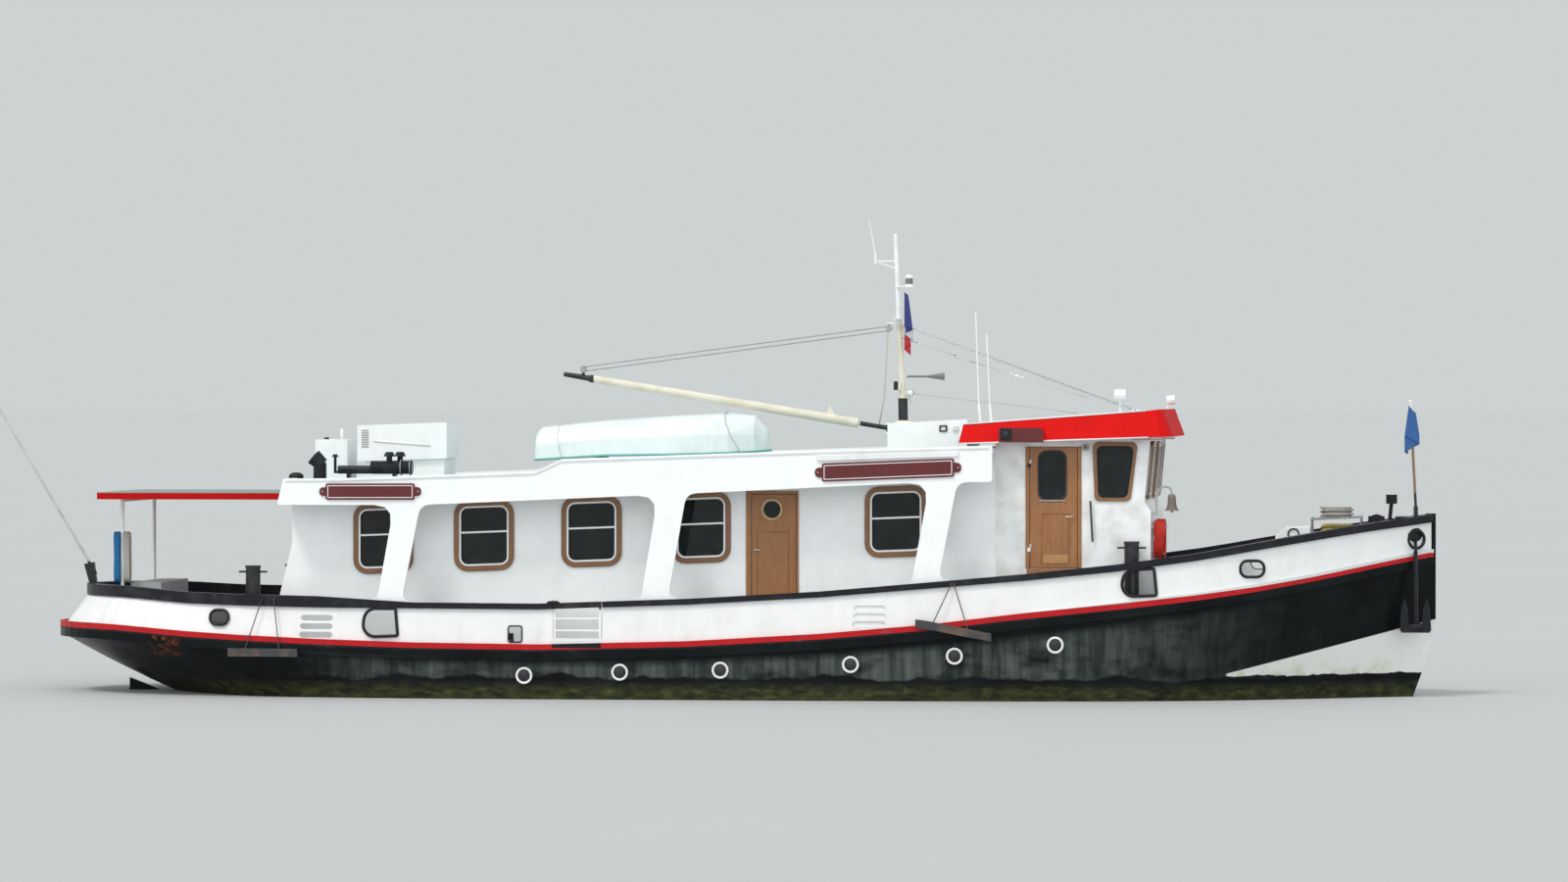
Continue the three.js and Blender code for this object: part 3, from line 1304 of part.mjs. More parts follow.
const rackTray = box([RACK.aft, RACK.fore], [-RACK.half, RACK.half], [RACK.tray - 12, RACK.tray]);
add("rope_rack", onDeck(join(rackTray, ...rackLegs, ...rackRails, ...rackEnds, ...rackBars)), "steel");

// A coil lying flat: middle radius, half the width of its ring, its foot and its height
function coil(x, foot, radius, half, height) {
  const ring = [
    [radius - half, foot],
    [radius + half, foot],
    [radius + half, foot + height],
    [radius - half, foot + height],
  ].map(([r, z]) => new THREE.Vector2(r, z));
  const geometry = new THREE.LatheGeometry([...ring, ring[0]], 24);
  geometry.rotateX(Math.PI / 2);
  geometry.translate(x, 0, 0);
  return solid(geometry);
}
add("rope_coil_yellow", coil(COIL_X, RACK.tray + GAP, 200, 66, 140), "rope");
add("rope_coil_grey", coil(COIL_X, RACK.rail + GAP, 190, 88, 180), "rope");

// Plank fenders on the starboard side, each hung by two ropes from the rail.
// ends and heights are those of the plank, aft and fore; a rope runs from x on the plank to x on the rail
const FENDERS = {
  aft: { ends: [-8033, -6882], heights: [725, 725], ropes: [[-7761, -7488], [-7175, -7305]] },
  fore: { ends: [3050, 4250], heights: [1250, 1020], ropes: [[3310, 3620], [3900, 3645]] },
};
const starboardEdge = EDGE.slice(0, EDGE.length / 2);
const outerPoint = (x, out) => [x, -along((row) => row.half, x) - out];
for (const [place, { ends: [x0, x1], heights: [z0, z1], ropes: lines }] of Object.entries(FENDERS)) {
  const share = (x) => z0 + ((z1 - z0) * (x - x0)) / (x1 - x0);
  const stretch = ribbon(starboardEdge, ({ x }) => {
    const middle = share(THREE.MathUtils.clamp(x, x0 - 900, x1 + 900));
    return [
      [STRAKE_PROUD + GAP, middle - 65],
      [STRAKE_PROUD + 72, middle - 65],
      [STRAKE_PROUD + 72, middle + 65],
      [STRAKE_PROUD + GAP, middle + 65],
    ];
  });
  const plank = cut(
    stretch,
    box([-12000, x0], [-3200, 500], [0, 4000]),
    box([x1, 12000], [-3200, 500], [0, 4000]),
  );
  const ropes = lines.map(([foot, head]) => {
    const lean = along((row) => row.lean, head);
    const top = along(railTop, head) - 40;
    const from = [...outerPoint(foot, STRAKE_PROUD + 74), share(foot)];
    return rod(from, [...outerPoint(head, RAIL_OUT - lean + 12), top], 9, 6);
  });
  add("fender_" + place, join(plank, ...ropes), "wood");
}

export default boat;
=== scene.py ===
"""A converted coaster that makes sightseeing trips, afloat, seen from its starboard side."""
import json
import math
from math import cos, pi, radians, sin

import bmesh
import bpy
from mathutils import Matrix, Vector

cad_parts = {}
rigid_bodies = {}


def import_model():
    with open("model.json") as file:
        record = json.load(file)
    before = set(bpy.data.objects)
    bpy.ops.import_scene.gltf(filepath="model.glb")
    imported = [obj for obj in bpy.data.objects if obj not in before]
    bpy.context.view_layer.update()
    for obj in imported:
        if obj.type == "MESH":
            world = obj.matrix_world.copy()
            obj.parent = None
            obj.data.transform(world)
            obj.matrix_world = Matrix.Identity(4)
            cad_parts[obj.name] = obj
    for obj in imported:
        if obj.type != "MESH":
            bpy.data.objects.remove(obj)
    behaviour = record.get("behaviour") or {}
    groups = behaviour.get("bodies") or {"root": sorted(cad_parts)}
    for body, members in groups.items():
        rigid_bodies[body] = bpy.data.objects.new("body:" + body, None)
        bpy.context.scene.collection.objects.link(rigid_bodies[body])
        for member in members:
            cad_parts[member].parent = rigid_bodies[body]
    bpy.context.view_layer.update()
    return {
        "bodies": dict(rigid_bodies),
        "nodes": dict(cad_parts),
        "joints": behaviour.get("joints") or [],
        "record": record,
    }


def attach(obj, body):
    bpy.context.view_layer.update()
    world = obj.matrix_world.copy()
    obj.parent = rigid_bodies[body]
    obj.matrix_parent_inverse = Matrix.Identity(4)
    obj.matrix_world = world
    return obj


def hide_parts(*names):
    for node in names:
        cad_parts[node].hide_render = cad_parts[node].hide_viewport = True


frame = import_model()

NODES = frame["nodes"]


def linked(name, data):
    made = bpy.data.objects.new(name, data)
    bpy.context.scene.collection.objects.link(made)
    return made


# Camera: eye height above the water, distance to the boat's centreline, and where it looks
PHOTO_WIDTH = 1600
PHOTO_HEIGHT = 900
FOCAL_PIXELS = 6270
HORIZON_ROW = 403
EYE_HEIGHT = 4.85
DISTANCE = 100
AZIMUTH = radians(6.6)
AIM_X = 0.65


def make_camera():
    camera = linked("camera", bpy.data.cameras.new("camera"))
    camera.data.sensor_width = 36
    camera.data.lens = 36 * FOCAL_PIXELS / PHOTO_WIDTH
    camera.data.clip_start = 1
    camera.data.clip_end = 4000
    camera.location = (AIM_X + DISTANCE * sin(AZIMUTH), -DISTANCE * cos(AZIMUTH), EYE_HEIGHT)
    pitch = math.atan((HORIZON_ROW - PHOTO_HEIGHT / 2) / FOCAL_PIXELS)
    camera.rotation_euler = (pi / 2 + pitch, 0, AZIMUTH)
    bpy.context.scene.camera = camera


make_camera()


# Materials are built from nodes; every colour varies with place on the boat

class Paint:
    """A material under construction: short names for the nodes that the paints share."""

    def __init__(self, name, roughness=0.4, metallic=0.0, coat=0.0, shine=0.5):
        self.material = bpy.data.materials.new(name)
        self.material.use_nodes = True
        self.tree = self.material.node_tree
        self.shader = self.tree.nodes["Principled BSDF"]
        self.shader.inputs["Roughness"].default_value = roughness
        self.shader.inputs["Metallic"].default_value = metallic
        self.shader.inputs["Coat Weight"].default_value = coat
        self.shader.inputs["Specular IOR Level"].default_value = shine
        self.place = self.node("ShaderNodeTexCoord").outputs["Object"]

    def node(self, kind, **settings):
        made = self.tree.nodes.new(kind)
        for key, value in settings.items():
            setattr(made, key, value)
        return made

    def put(self, value, socket):
        if isinstance(value, bpy.types.NodeSocket):
            self.tree.links.new(value, socket)
        elif isinstance(value, (tuple, list)) and len(value) == 3 and socket.type == "RGBA":
            socket.default_value = (*value, 1)
        else:
            socket.default_value = value

    def math(self, operation, first, second=0.0):
        made = self.node("ShaderNodeMath", operation=operation)
        self.put(first, made.inputs[0])
        self.put(second, made.inputs[1])
        return made.outputs[0]

    def times(self, first, second):
        return self.math("MULTIPLY", first, second)

    def plus(self, first, second):
        return self.math("ADD", first, second)

    def minus(self, first, second):
        return self.math("SUBTRACT", first, second)

    def mix(self, share, first, second):
        made = self.node("ShaderNodeMix", data_type="RGBA")
        self.put(share, made.inputs["Factor"])
        self.put(first, made.inputs[6])
        self.put(second, made.inputs[7])
        return made.outputs[2]

    def scaled(self, scale, place=None):
        made = self.node("ShaderNodeMapping")
        self.put(place or self.place, made.inputs["Vector"])
        made.inputs["Scale"].default_value = scale
        return made.outputs[0]

    def noise(self, size, detail=3.0, place=None):
        made = self.node("ShaderNodeTexNoise")
        self.put(place or self.place, made.inputs["Vector"])
        made.inputs["Scale"].default_value = 1 / size
        made.inputs["Detail"].default_value = detail
        made.inputs["Roughness"].default_value = 0.55
        return made.outputs["Fac"]

    def step(self, value, low, high):
        """0 below low, 1 above high, a straight rise between; high below low turns it round."""
        made = self.node("ShaderNodeMapRange", clamp=True)
        self.put(value, made.inputs["Value"])
        self.put(low, made.inputs["From Min"])
        self.put(high, made.inputs["From Max"])
        return made.outputs[0]

    def patches(self, size, detail, low, high):
        """Blotches of about this size, 0 where the noise is below low and 1 above high."""
        return self.step(self.noise(size, detail), low, high)

    def band(self, value, low, high, edge=0.005):
        """1 between low and high, 0 outside them."""
        return self.times(self.step(value, low, low + edge), self.step(value, high, high - edge))

    def axis(self, letter):
        made = self.node("ShaderNodeSeparateXYZ")
        self.put(self.place, made.inputs[0])
        return made.outputs[letter]

    def ramp(self, value, stops):
        made = self.node("ShaderNodeValToRGB")
        self.put(value, made.inputs[0])
        elements = made.color_ramp.elements
        while len(elements) < len(stops):
            elements.new(0.5)
        for element, (at, colour) in zip(elements, stops):
            element.position = at
            element.color = (*colour, 1)
        return made.outputs[0]

    def colour(self, value):
        self.put(value, self.shader.inputs["Base Color"])

    def rough(self, value):
        self.put(value, self.shader.inputs["Roughness"])

    def bump(self, height, depth, strength=0.5):
        made = self.node("ShaderNodeBump")
        made.inputs["Strength"].default_value = strength
        made.inputs["Distance"].default_value = depth
        self.put(height, made.inputs["Height"])
        self.put(made.outputs[0], self.shader.inputs["Normal"])

    def uneven(self, size, depth, strength, detail=4):
        """Waves or grains of about this size over the whole surface."""
        self.bump(self.noise(size, detail), depth, strength)


def worn_paint(name, base, dirt=(0.22, 0.2, 0.16), share=0.25, roughness=0.4, patch=0.9, shine=0.5):
    """Brushed paint: faint patches, vertical rain streaks and a slight unevenness."""
    paint = Paint(name, roughness, shine=shine)
    patches = paint.noise(patch, 4)
    streaks = paint.noise(0.16, 4, paint.scaled((1, 1, 0.09)))
    soiled = paint.times(paint.step(patches, 0.42, 0.72), paint.step(streaks, 0.4, 0.75))
    varied = paint.mix(paint.patches(0.35, 5, 0.3, 0.7), base, tuple(min(1, c * 1.07) for c in base))
    paint.colour(paint.mix(paint.times(soiled, share), varied, dirt))
    paint.rough(paint.plus(paint.times(paint.noise(0.12, 4), 0.2), roughness - 0.1))
    paint.uneven(0.5, 0.004, 0.35)
    return paint.material


WHITE = (0.88, 0.90, 0.91)
SEA_GREEN = (0.38, 0.50, 0.48)
RED = (0.64, 0.010, 0.009)


# Geometry helpers, all in metres and in the frame's axes

def ring(centre, across, up, radius, sides):
    """Points of a circle in the plane of two unit vectors."""
    steps = (2 * pi * i / sides for i in range(sides))
    return [centre + (across * cos(a) + up * sin(a)) * radius for a in steps]


def square_to(direction):
    """A unit vector square to direction, level where that can be told."""
    direction = direction.normalized()
    helper = Vector((0, 0, 1)) if abs(direction.z) < 0.9 else Vector((1, 0, 0))
    return direction.cross(helper).normalized()


class Piece:
    def __init__(self, name, *materials, body="boat", mirror=False):
        self.name = name
        self.materials = materials
        self.body = body
        self.side = -1 if mirror else 1
        self.mesh = bmesh.new()
        self.slot = 0

    def use(self, slot):
        self.slot = slot
        return self

    def faces(self, points, faces, smooth=False):
        made = [self.mesh.verts.new((x, y * self.side, z)) for x, y, z in points]
        for corners in faces:
            order = corners if self.side > 0 else tuple(reversed(corners))
            face = self.mesh.faces.new([made[i] for i in order])
            face.material_index = self.slot
            face.smooth = smooth
        return made

    def box(self, low, high, round_off=0.0):
        (x0, y0, z0), (x1, y1, z1) = low, high
        points = [(x, y, z) for z in (z0, z1) for y in (y0, y1) for x in (x0, x1)]
        faces = [(0, 2, 3, 1), (4, 5, 7, 6), (0, 1, 5, 4), (2, 6, 7, 3), (0, 4, 6, 2), (1, 3, 7, 5)]
        made = self.faces(points, faces)
        if round_off:
            edges = {edge for vert in made for edge in vert.link_edges}
            bmesh.ops.bevel(
                self.mesh, geom=list(edges), offset=round_off, segments=2, profile=0.5, affect="EDGES"
            )
        return self

    def skin(self, rings, closed=False):
        """A smooth surface through rings of points, with flat ends unless it closes on itself."""
        sides, count = len(rings[0]), len(rings)
        faces = []
        for i in range(count if closed else count - 1):
            j = (i + 1) % count
            for k in range(sides):
                m = (k + 1) % sides
                faces.append((i * sides + k, i * sides + m, j * sides + m, j * sides + k))
        if not closed:
            faces.append(tuple(reversed(range(sides))))
            faces.append(tuple(range((count - 1) * sides, count * sides)))
        self.faces([p for r in rings for p in r], faces, smooth=True)
        return self

    def tube(self, path, radius, sides=10, closed=False, radii=None):
        """A round tube through points; radii gives a radius for each point instead."""
        path = [Vector(p) for p in path]
        count = len(path)
        rings = []
        across = None
        for i, at in enumerate(path):
            before = path[(i - 1) % count] if closed or i else at
            after = path[(i + 1) % count] if closed or i < count - 1 else at
            along = (after - before).normalized()
            if across is None:
                across = square_to(along)
            across = (across - along * across.dot(along)).normalized()
            up = along.cross(across)
            rings.append(ring(at, across, up, radii[i] if radii else radius, sides))
        return self.skin(rings, closed)

    def turned(self, foot, direction, profile, sides=24):
        """A body of revolution: profile is [(distance along direction, radius)], closed by flat ends."""
        foot = Vector(foot)
        direction = Vector(direction).normalized()
        across = square_to(direction)
        up = direction.cross(across)
        rings = [ring(foot + direction * at, across, up, max(r, 1e-4), sides) for at, r in profile]
        return self.skin(rings)

    def slab(self, loops, place, depth, round_off=0.0, slot=None):
        """A plate from 2-D loops, the first the outline and the rest holes, with rounded edges.

        place(u, v, w) puts a point of the plate's own axes on the boat; w runs from 0 to depth."""
        curve = bpy.data.curves.new(self.name + "_outline", "CURVE")
        curve.dimensions = "2D"
        curve.fill_mode = "BOTH"
        curve.extrude = depth / 2 - round_off
        curve.bevel_depth = round_off
        curve.bevel_resolution = 1
        curve.offset = -round_off
        for loop in loops:
            spline = curve.splines.new("POLY")
            spline.points.add(len(loop) - 1)
            for point, (u, v) in zip(spline.points, loop):
                point.co = (u, v, 0, 1)
            spline.use_cyclic_u = True
        holder = linked(self.name + "_outline", curve)
        made = bpy.data.meshes.new_from_object(holder.evaluated_get(bpy.context.evaluated_depsgraph_get()))
        bpy.data.objects.remove(holder)
        bpy.data.curves.remove(curve)
        corners = [Vector(place(v.co.x, v.co.y, v.co.z + depth / 2)) for v in made.vertices]
        axes = ((0, 0, 0), (1, 0, 0), (0, 1, 0), (0, 0, 1))
        origin, along_u, along_v, along_w = (Vector(place(*point)) for point in axes)
        turned_over = (along_u - origin).cross(along_v - origin).dot(along_w - origin) < 0
        faces = [tuple(reversed(p.vertices)) if turned_over else tuple(p.vertices) for p in made.polygons]
        if slot is not None:
            self.slot = slot
        self.faces(corners, faces)
        bpy.data.meshes.remove(made)
        return self

    def finish(self, weld=True):
        if weld:
            bmesh.ops.remove_doubles(self.mesh, verts=self.mesh.verts, dist=1e-5)
        mesh = bpy.data.meshes.new(self.name)
        self.mesh.to_mesh(mesh)
        self.mesh.free()
        made = linked(self.name, mesh)
        for material in self.materials:
            mesh.materials.append(material)
        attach(made, self.body)
        return made


def side_place(y):
    """A plate that stands on a side wall: u is X, v is Z, and w grows outboard to starboard."""
    return lambda u, v, w: (u, y - w, v)


def rounded(corners, radii, steps=5):
    """A closed outline of straight sides with rounded corners."""
    count = len(corners)
    if not isinstance(radii, (list, tuple)):
        radii = [radii] * count
    outline = []
    for i, corner in enumerate(corners):
        here = Vector(corner)
        to_before = (Vector(corners[i - 1]) - here).normalized()
        to_after = (Vector(corners[(i + 1) % count]) - here).normalized()
        if radii[i] == 0:
            outline.append(tuple(here))
            continue
        half = to_before.angle(to_after) / 2
        reach = radii[i] / math.tan(half)
        middle = here + (to_before + to_after).normalized() * radii[i] / sin(half)
        first = here + to_before * reach - middle
        last = here + to_after * reach - middle
        turn = first.angle_signed(last) * -1
        for k in range(steps + 1):
            a = turn * k / steps
            x = middle.x + first.x * cos(a) - first.y * sin(a)
            y = middle.y + first.x * sin(a) + first.y * cos(a)
            outline.append((x, y))
    return outline


def rect(x0, x1, z0, z1, radius=0.0, steps=5):
    return rounded([(x0, z0), (x1, z0), (x1, z1), (x0, z1)], radius, steps)


# The house's windows lean with the rising sheer
WINDOW_TILT = radians(2.2)


def tilted_box(x, z, width, height, radius, grow=0.0):
    """A rounded window outline about (x, z) whose top and foot follow the rising sheer."""
    half_w = width / 2 + grow
    half_h = height / 2 + grow
    rise = half_w * math.tan(WINDOW_TILT)
    corners = [
        (x - half_w, z - half_h - rise),
        (x + half_w, z - half_h + rise),
        (x + half_w, z + half_h + rise),
        (x - half_w, z + half_h - rise),
    ]
    return rounded(corners, radius + grow)


# Paints

def hull_paint():
    """Black topsides; grey scuffed plating between the strake and the weed, and a white wedge at the bow."""
    paint = Paint("hull_black", 0.35, shine=0.08)
    x, z = paint.axis("X"), paint.axis("Z")
    # The strake's foot, taken as a parabola over its lowest point
    from_lowest = paint.plus(x, 2.6)
    strake_foot = paint.plus(paint.times(paint.times(from_lowest, from_lowest), 0.0079), 0.64)
    black = paint.mix(paint.patches(0.7, 4, 0.35, 0.7), (0.004, 0.005, 0.006), (0.010, 0.013, 0.014))

    drips = paint.noise(0.13, 5, paint.scaled((1, 1, 0.06)))
    blots = paint.noise(0.55, 5, paint.scaled((1, 1, 1.8)))
    grey = paint.mix(paint.step(drips, 0.35, 0.75), (0.030, 0.040, 0.038), (0.13, 0.145, 0.13))
    below = paint.step(paint.minus(strake_foot, z), 0.0, 0.14)
    amid = paint.times(paint.step(x, -7.2, -5.2), paint.step(x, 9.0, 5.5))
    wave = paint.times(paint.minus(paint.noise(1.1, 3, paint.scaled((1, 0, 0))), 0.5), 0.5)
    wet_edge = paint.plus(0.36, wave)
    dry = paint.step(paint.minus(z, wet_edge), -0.02, 0.02)
    worn = paint.times(paint.times(below, amid), paint.step(blots, 0.3, 0.55))
    worn = paint.times(worn, dry)
    colour = paint.mix(paint.times(worn, 0.85), black, grey)

    rust_place = paint.times(paint.step(x, -9.45, -9.35), paint.step(x, -8.85, -9.0))
    rust_height = paint.times(paint.step(z, 0.62, 0.7), paint.patches(0.12, 4, 0.45, 0.62))
    colour = paint.mix(paint.times(rust_place, rust_height), colour, (0.16, 0.035, 0.012))

    # The white wedge under the bow: a straight upper edge and a ragged lower one
    wedge_top = paint.plus(paint.times(paint.minus(x, 7.85), 0.249), 0.42)
    below_top = paint.step(paint.minus(wedge_top, z), 0.0, 0.012)
    before = paint.step(x, 7.9, 7.95)
    ragged = paint.times(paint.minus(paint.noise(0.25, 4), 0.5), 0.1)
    above_scum = paint.step(paint.minus(z, paint.plus(0.385, ragged)), 0.0, 0.012)
    wedge = paint.times(paint.times(below_top, before), above_scum)
    stained = paint.times(paint.patches(0.3, 4, 0.5, 0.75), paint.step(z, 0.75, 0.4))
    wedge_white = paint.mix(stained, (0.74, 0.76, 0.73), (0.5, 0.5, 0.33))
    colour = paint.mix(wedge, colour, wedge_white)

    weed = paint.ramp(
        paint.noise(0.2, 5, paint.scaled((1, 1, 2.2))),
        [(0.3, (0.012, 0.016, 0.010)), (0.55, (0.05, 0.058, 0.022)), (0.8, (0.13, 0.12, 0.045))],
    )
    weedy = paint.times(paint.step(paint.minus(0.3, z), 0.0, 0.16), paint.step(x, -9.9, -8.5))
    colour = paint.mix(paint.times(weedy, 0.75), colour, weed)
    bottom = paint.step(z, 0.02, -0.12)
    antifouling = paint.mix(paint.patches(0.4, 5, 0.35, 0.7), (0.085, 0.02, 0.015), (0.05, 0.035, 0.02))
    paint.colour(paint.mix(bottom, colour, antifouling))
    paint.rough(paint.plus(0.28, paint.times(paint.plus(worn, weedy), 0.4)))
    paint.uneven(0.55, 0.006, 0.4)
    return paint.material


def varnished(name, along="Z", base=(0.30, 0.115, 0.03), dark=(0.15, 0.05, 0.013)):
    """Oiled hardwood: grain drawn out along one axis."""
    paint = Paint(name, 0.4, coat=0.25)
    stretch = {"X": (0.5, 9, 9), "Z": (9, 9, 0.5)}[along]
    grain = paint.noise(0.13, 6, paint.scaled(stretch))
    fine = paint.noise(0.012, 3, paint.scaled(tuple(0.12 if s < 1 else 1 for s in stretch)))
    colour = paint.mix(paint.step(grain, 0.3, 0.72), base, dark)
    bleached = paint.patches(0.5, 3, 0.5, 0.8)
    colour = paint.mix(paint.times(bleached, 0.5), colour, (0.42, 0.2, 0.07))
    paint.colour(paint.mix(paint.times(fine, 0.3), colour, dark))
    paint.bump(grain, 0.0015, 0.4)
    return paint.material


def metal(name, base, roughness, spots=(0.1, 0.08, 0.06), share=0.4):
    """Bare metal with dull spots."""
    paint = Paint(name, roughness, metallic=1.0)
    dull = paint.times(paint.patches(0.06, 5, 0.45, 0.7), share)
    paint.colour(paint.mix(dull, base, spots))
    paint.rough(paint.plus(roughness - 0.08, paint.times(paint.noise(0.03, 4), 0.2)))
    paint.uneven(0.02, 0.0006, 0.3, 3)
    return paint.material


def black_paint():
    """Black enamel on steel, greyed where it is rubbed and rusty in spots."""
    roughness = 0.32
    paint = Paint("black_enamel", roughness, shine=0.2)
    rubbed = paint.patches(0.25, 5, 0.52, 0.75)
    colour = paint.mix(rubbed, (0.011, 0.012, 0.017), (0.035, 0.036, 0.042))
    spots = paint.times(paint.patches(0.045, 4, 0.68, 0.74), 0.6)
    paint.colour(paint.mix(spots, colour, (0.11, 0.045, 0.02)))
    paint.rough(paint.plus(roughness, paint.times(rubbed, 0.2)))
    paint.uneven(0.08, 0.002, 0.3)
    return paint.material


def laid_rope(name, light, dark, pitch=0.05):
    """Three-strand rope: the lay shows as slanting light and dark bands; the dark bands are painted shade in
    the grooves between the strands.
    """
    paint = Paint(name, 0.85)
    wave = paint.node("ShaderNodeTexWave", wave_type="BANDS", bands_direction="DIAGONAL")
    paint.put(paint.place, wave.inputs["Vector"])
    wave.inputs["Scale"].default_value = 1 / pitch
    wave.inputs["Distortion"].default_value = 1.5
    lay = wave.outputs["Fac"]
    fibres = paint.noise(0.01, 3)
    # The lay's dark bands are painted shade, darkening the grooves between the strands.
    colour = paint.mix(paint.step(lay, 0.1, 0.6), dark, light)
    paint.colour(paint.mix(paint.times(fibres, 0.4), colour, dark))
    paint.bump(lay, 0.004, 0.6)
    return paint.material


def cloth(name, colour_of):
    """Woven bunting; colour_of(paint) gives its colour."""
    paint = Paint(name, 0.8)
    paint.shader.inputs["Sheen Weight"].default_value = 0.3
    weave = paint.times(paint.noise(0.004, 2), 0.35)
    base = colour_of(paint)
    paint.colour(paint.mix(weave, base, (0.02, 0.02, 0.03)))
    paint.uneven(0.006, 0.0006, 0.4, 2)
    return paint.material


def window_glass():
    """Window glass, a little wavy and dusty, tinted near black as painted shade of the unlit rooms behind it.
    """
    paint = Paint("window_glass", 0.03, shine=0.3)
    dust = paint.times(paint.patches(0.3, 4, 0.45, 0.8), 0.12)
    # The near-black colour is painted shade standing for the dark rooms seen through the panes; the pale
    # patches are real dust.
    paint.colour(paint.mix(dust, (0.010, 0.018, 0.018), (0.3, 0.32, 0.3)))
    paint.shader.inputs["Transmission Weight"].default_value = 0.6
    paint.shader.inputs["IOR"].default_value = 1.45
    paint.rough(paint.plus(0.02, paint.times(dust, 0.4)))
    paint.uneven(0.6, 0.001, 0.1, 2)
    return paint.material


white = worn_paint("white_enamel", WHITE, share=0.10)
bulwark_white = worn_paint("bulwark_white", (0.80, 0.81, 0.81), dirt=(0.30, 0.27, 0.21), share=0.2, patch=0.6)
red = worn_paint("red_enamel", RED, dirt=(0.25, 0.01, 0.01), share=0.3, roughness=0.6, shine=0.05)
# The name boards' own dark red; on the sidelight board it is painted shade of a red board in its recess.
dark_red_and_shade = worn_paint("dark_red_board_and_painted_shade", (0.11, 0.008, 0.010), dirt=(0.05, 0.01, 0.01), share=0.4)
box_grey = worn_paint("box_grey", (0.42, 0.45, 0.46), dirt=(0.2, 0.2, 0.18), share=0.4, roughness=0.6)
inside_grey = worn_paint(
    "inside_lining", (0.35, 0.33, 0.28), dirt=(0.2, 0.17, 0.12), share=0.3, roughness=0.7
)
black = black_paint()
hull_black = hull_paint()
door_wood = varnished("door_wood", base=(0.40, 0.175, 0.055), dark=(0.24, 0.09, 0.025))
frame_wood = varnished("frame_wood", "X", (0.27, 0.13, 0.05), (0.17, 0.075, 0.028))
grey_plank = varnished("tarred_plank", "X", (0.05, 0.055, 0.06), (0.015, 0.017, 0.02))
steel = metal("galvanised_steel", (0.45, 0.46, 0.46), 0.42)
bright_steel = metal("bright_steel", (0.66, 0.67, 0.67), 0.22, share=0.15)
old_brass = metal("old_brass", (0.42, 0.31, 0.16), 0.38, (0.16, 0.13, 0.1), 0.6)
bronze = metal("cast_bronze", (0.42, 0.25, 0.08), 0.35, (0.12, 0.14, 0.08), 0.5)
glass = window_glass()


# Hose and ropes lie coiled; each route fills the plain ring that the frame holds for it

hose_red = worn_paint(
    "red_hose_jacket", (0.55, 0.025, 0.012), dirt=(0.2, 0.03, 0.02), share=0.5, roughness=0.6, patch=0.1
)
blue_line = laid_rope("blue_line", (0.03, 0.28, 0.62), (0.012, 0.10, 0.28), 0.02)
pale_line = laid_rope("pale_line", (0.66, 0.66, 0.60), (0.36, 0.35, 0.30), 0.02)
grey_hawser = laid_rope("grey_hawser", (0.60, 0.60, 0.56), (0.30, 0.29, 0.26))
yellow_hawser = laid_rope("yellow_hawser", (0.66, 0.50, 0.16), (0.34, 0.24, 0.07))

# Parts of a turn in which a rope moves over to the next column or up to the next layer
NEXT_COLUMN = (0.02, 0.16)
NEXT_LAYER = (0.52, 0.66)
STEPS_PER_TURN = 24
# Part of a turn that each of the two bends of an oval takes
PART_IN_BEND = 0.34


def eased(value, window):
    low, high = window
    t = min(1, max(0, (value - low) / (high - low)))
    return t * t * (3 - 2 * t)


def winding(columns, layers):
    """(part of a turn, column, layer) along a rope that fills its columns layer after layer."""
    moves = []
    turn = 0
    direction = 1
    for layer in range(layers):
        for _ in range(columns - 1):
            turn += 1
            moves.append((turn, NEXT_COLUMN, direction, 0))
        if layer < layers - 1:
            moves.append((turn, NEXT_LAYER, 0, 1))
        direction = -direction
    route = []
    for i in range(int(0.2 * STEPS_PER_TURN), int((turn + 0.95) * STEPS_PER_TURN) + 1):
        at = i / STEPS_PER_TURN
        column = sum(eased(at - start, window) * across for start, window, across, _ in moves)
        layer = sum(eased(at - start, window) * up for start, window, _, up in moves)
        route.append((at % 1, column, layer))
    return route


def oval_point(part, radius, half_straight):
    """A point of an upright oval of two half circles and two straights, in its own plane."""
    bend = PART_IN_BEND
    run = 0.5 - bend
    half = 0 if part < 0.5 else 1
    part -= half * 0.5
    sign = 1 - 2 * half
    if part < run:
        across, up = -radius, half_straight * (2 * part / run - 1)
    else:
        a = pi * (part - run) / bend
        across, up = -radius * cos(a), half_straight + radius * sin(a)
    return across * sign, up * sign


def rope(name, points, diameter, material, node):
    curve = bpy.data.curves.new(name, "CURVE")
    curve.dimensions = "3D"
    curve.bevel_depth = diameter / 2
    curve.bevel_resolution = 1
    curve.use_fill_caps = True
    spline = curve.splines.new("POLY")
    spline.points.add(len(points) - 1)
    for point, place in zip(spline.points, points):
        point.co = (*place, 1)
    curve.materials.append(material)
    made = linked(name, curve)
    length = sum((Vector(a) - Vector(b)).length for a, b in zip(points, points[1:]))
    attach(made, "boat")
    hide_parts(node)
    return made, round(length, 2)


def hanging_coil(middle, inner_radius, half_straight, pitch, columns, layers):
    """A coil of upright ovals beside each other along X."""
    x, y, z = middle
    points = []
    for part, column, layer in winding(columns, layers):
        across, up = oval_point(part, inner_radius + layer * pitch, half_straight)
        points.append((x + (column - (columns - 1) / 2) * pitch, y + across, z + up))
    return points


def flat_coil(x, foot, inner_radius, pitch, columns, layers):
    """A coil that lies flat round an upright axis."""
    points = []
    for part, column, layer in winding(columns, layers):
        radius = inner_radius + column * pitch
        points.append((x + radius * cos(2 * pi * part), radius * sin(2 * pi * part), foot + layer * pitch))
    return points


HOSE = {
    "diameter": 0.030, "inner_radius": 0.1428, "half_straight": 0.105,
    "pitch": 0.0312, "columns": 6, "layers": 3,
}
HOSE_MIDDLE = (6.85, -1.53, 2.560)
hose_points = hanging_coil(
    HOSE_MIDDLE, HOSE["inner_radius"], HOSE["half_straight"], HOSE["pitch"], HOSE["columns"], HOSE["layers"]
)
hose, hose_length = rope("deck_hose", hose_points, HOSE["diameter"], hose_red, "hose_coil")


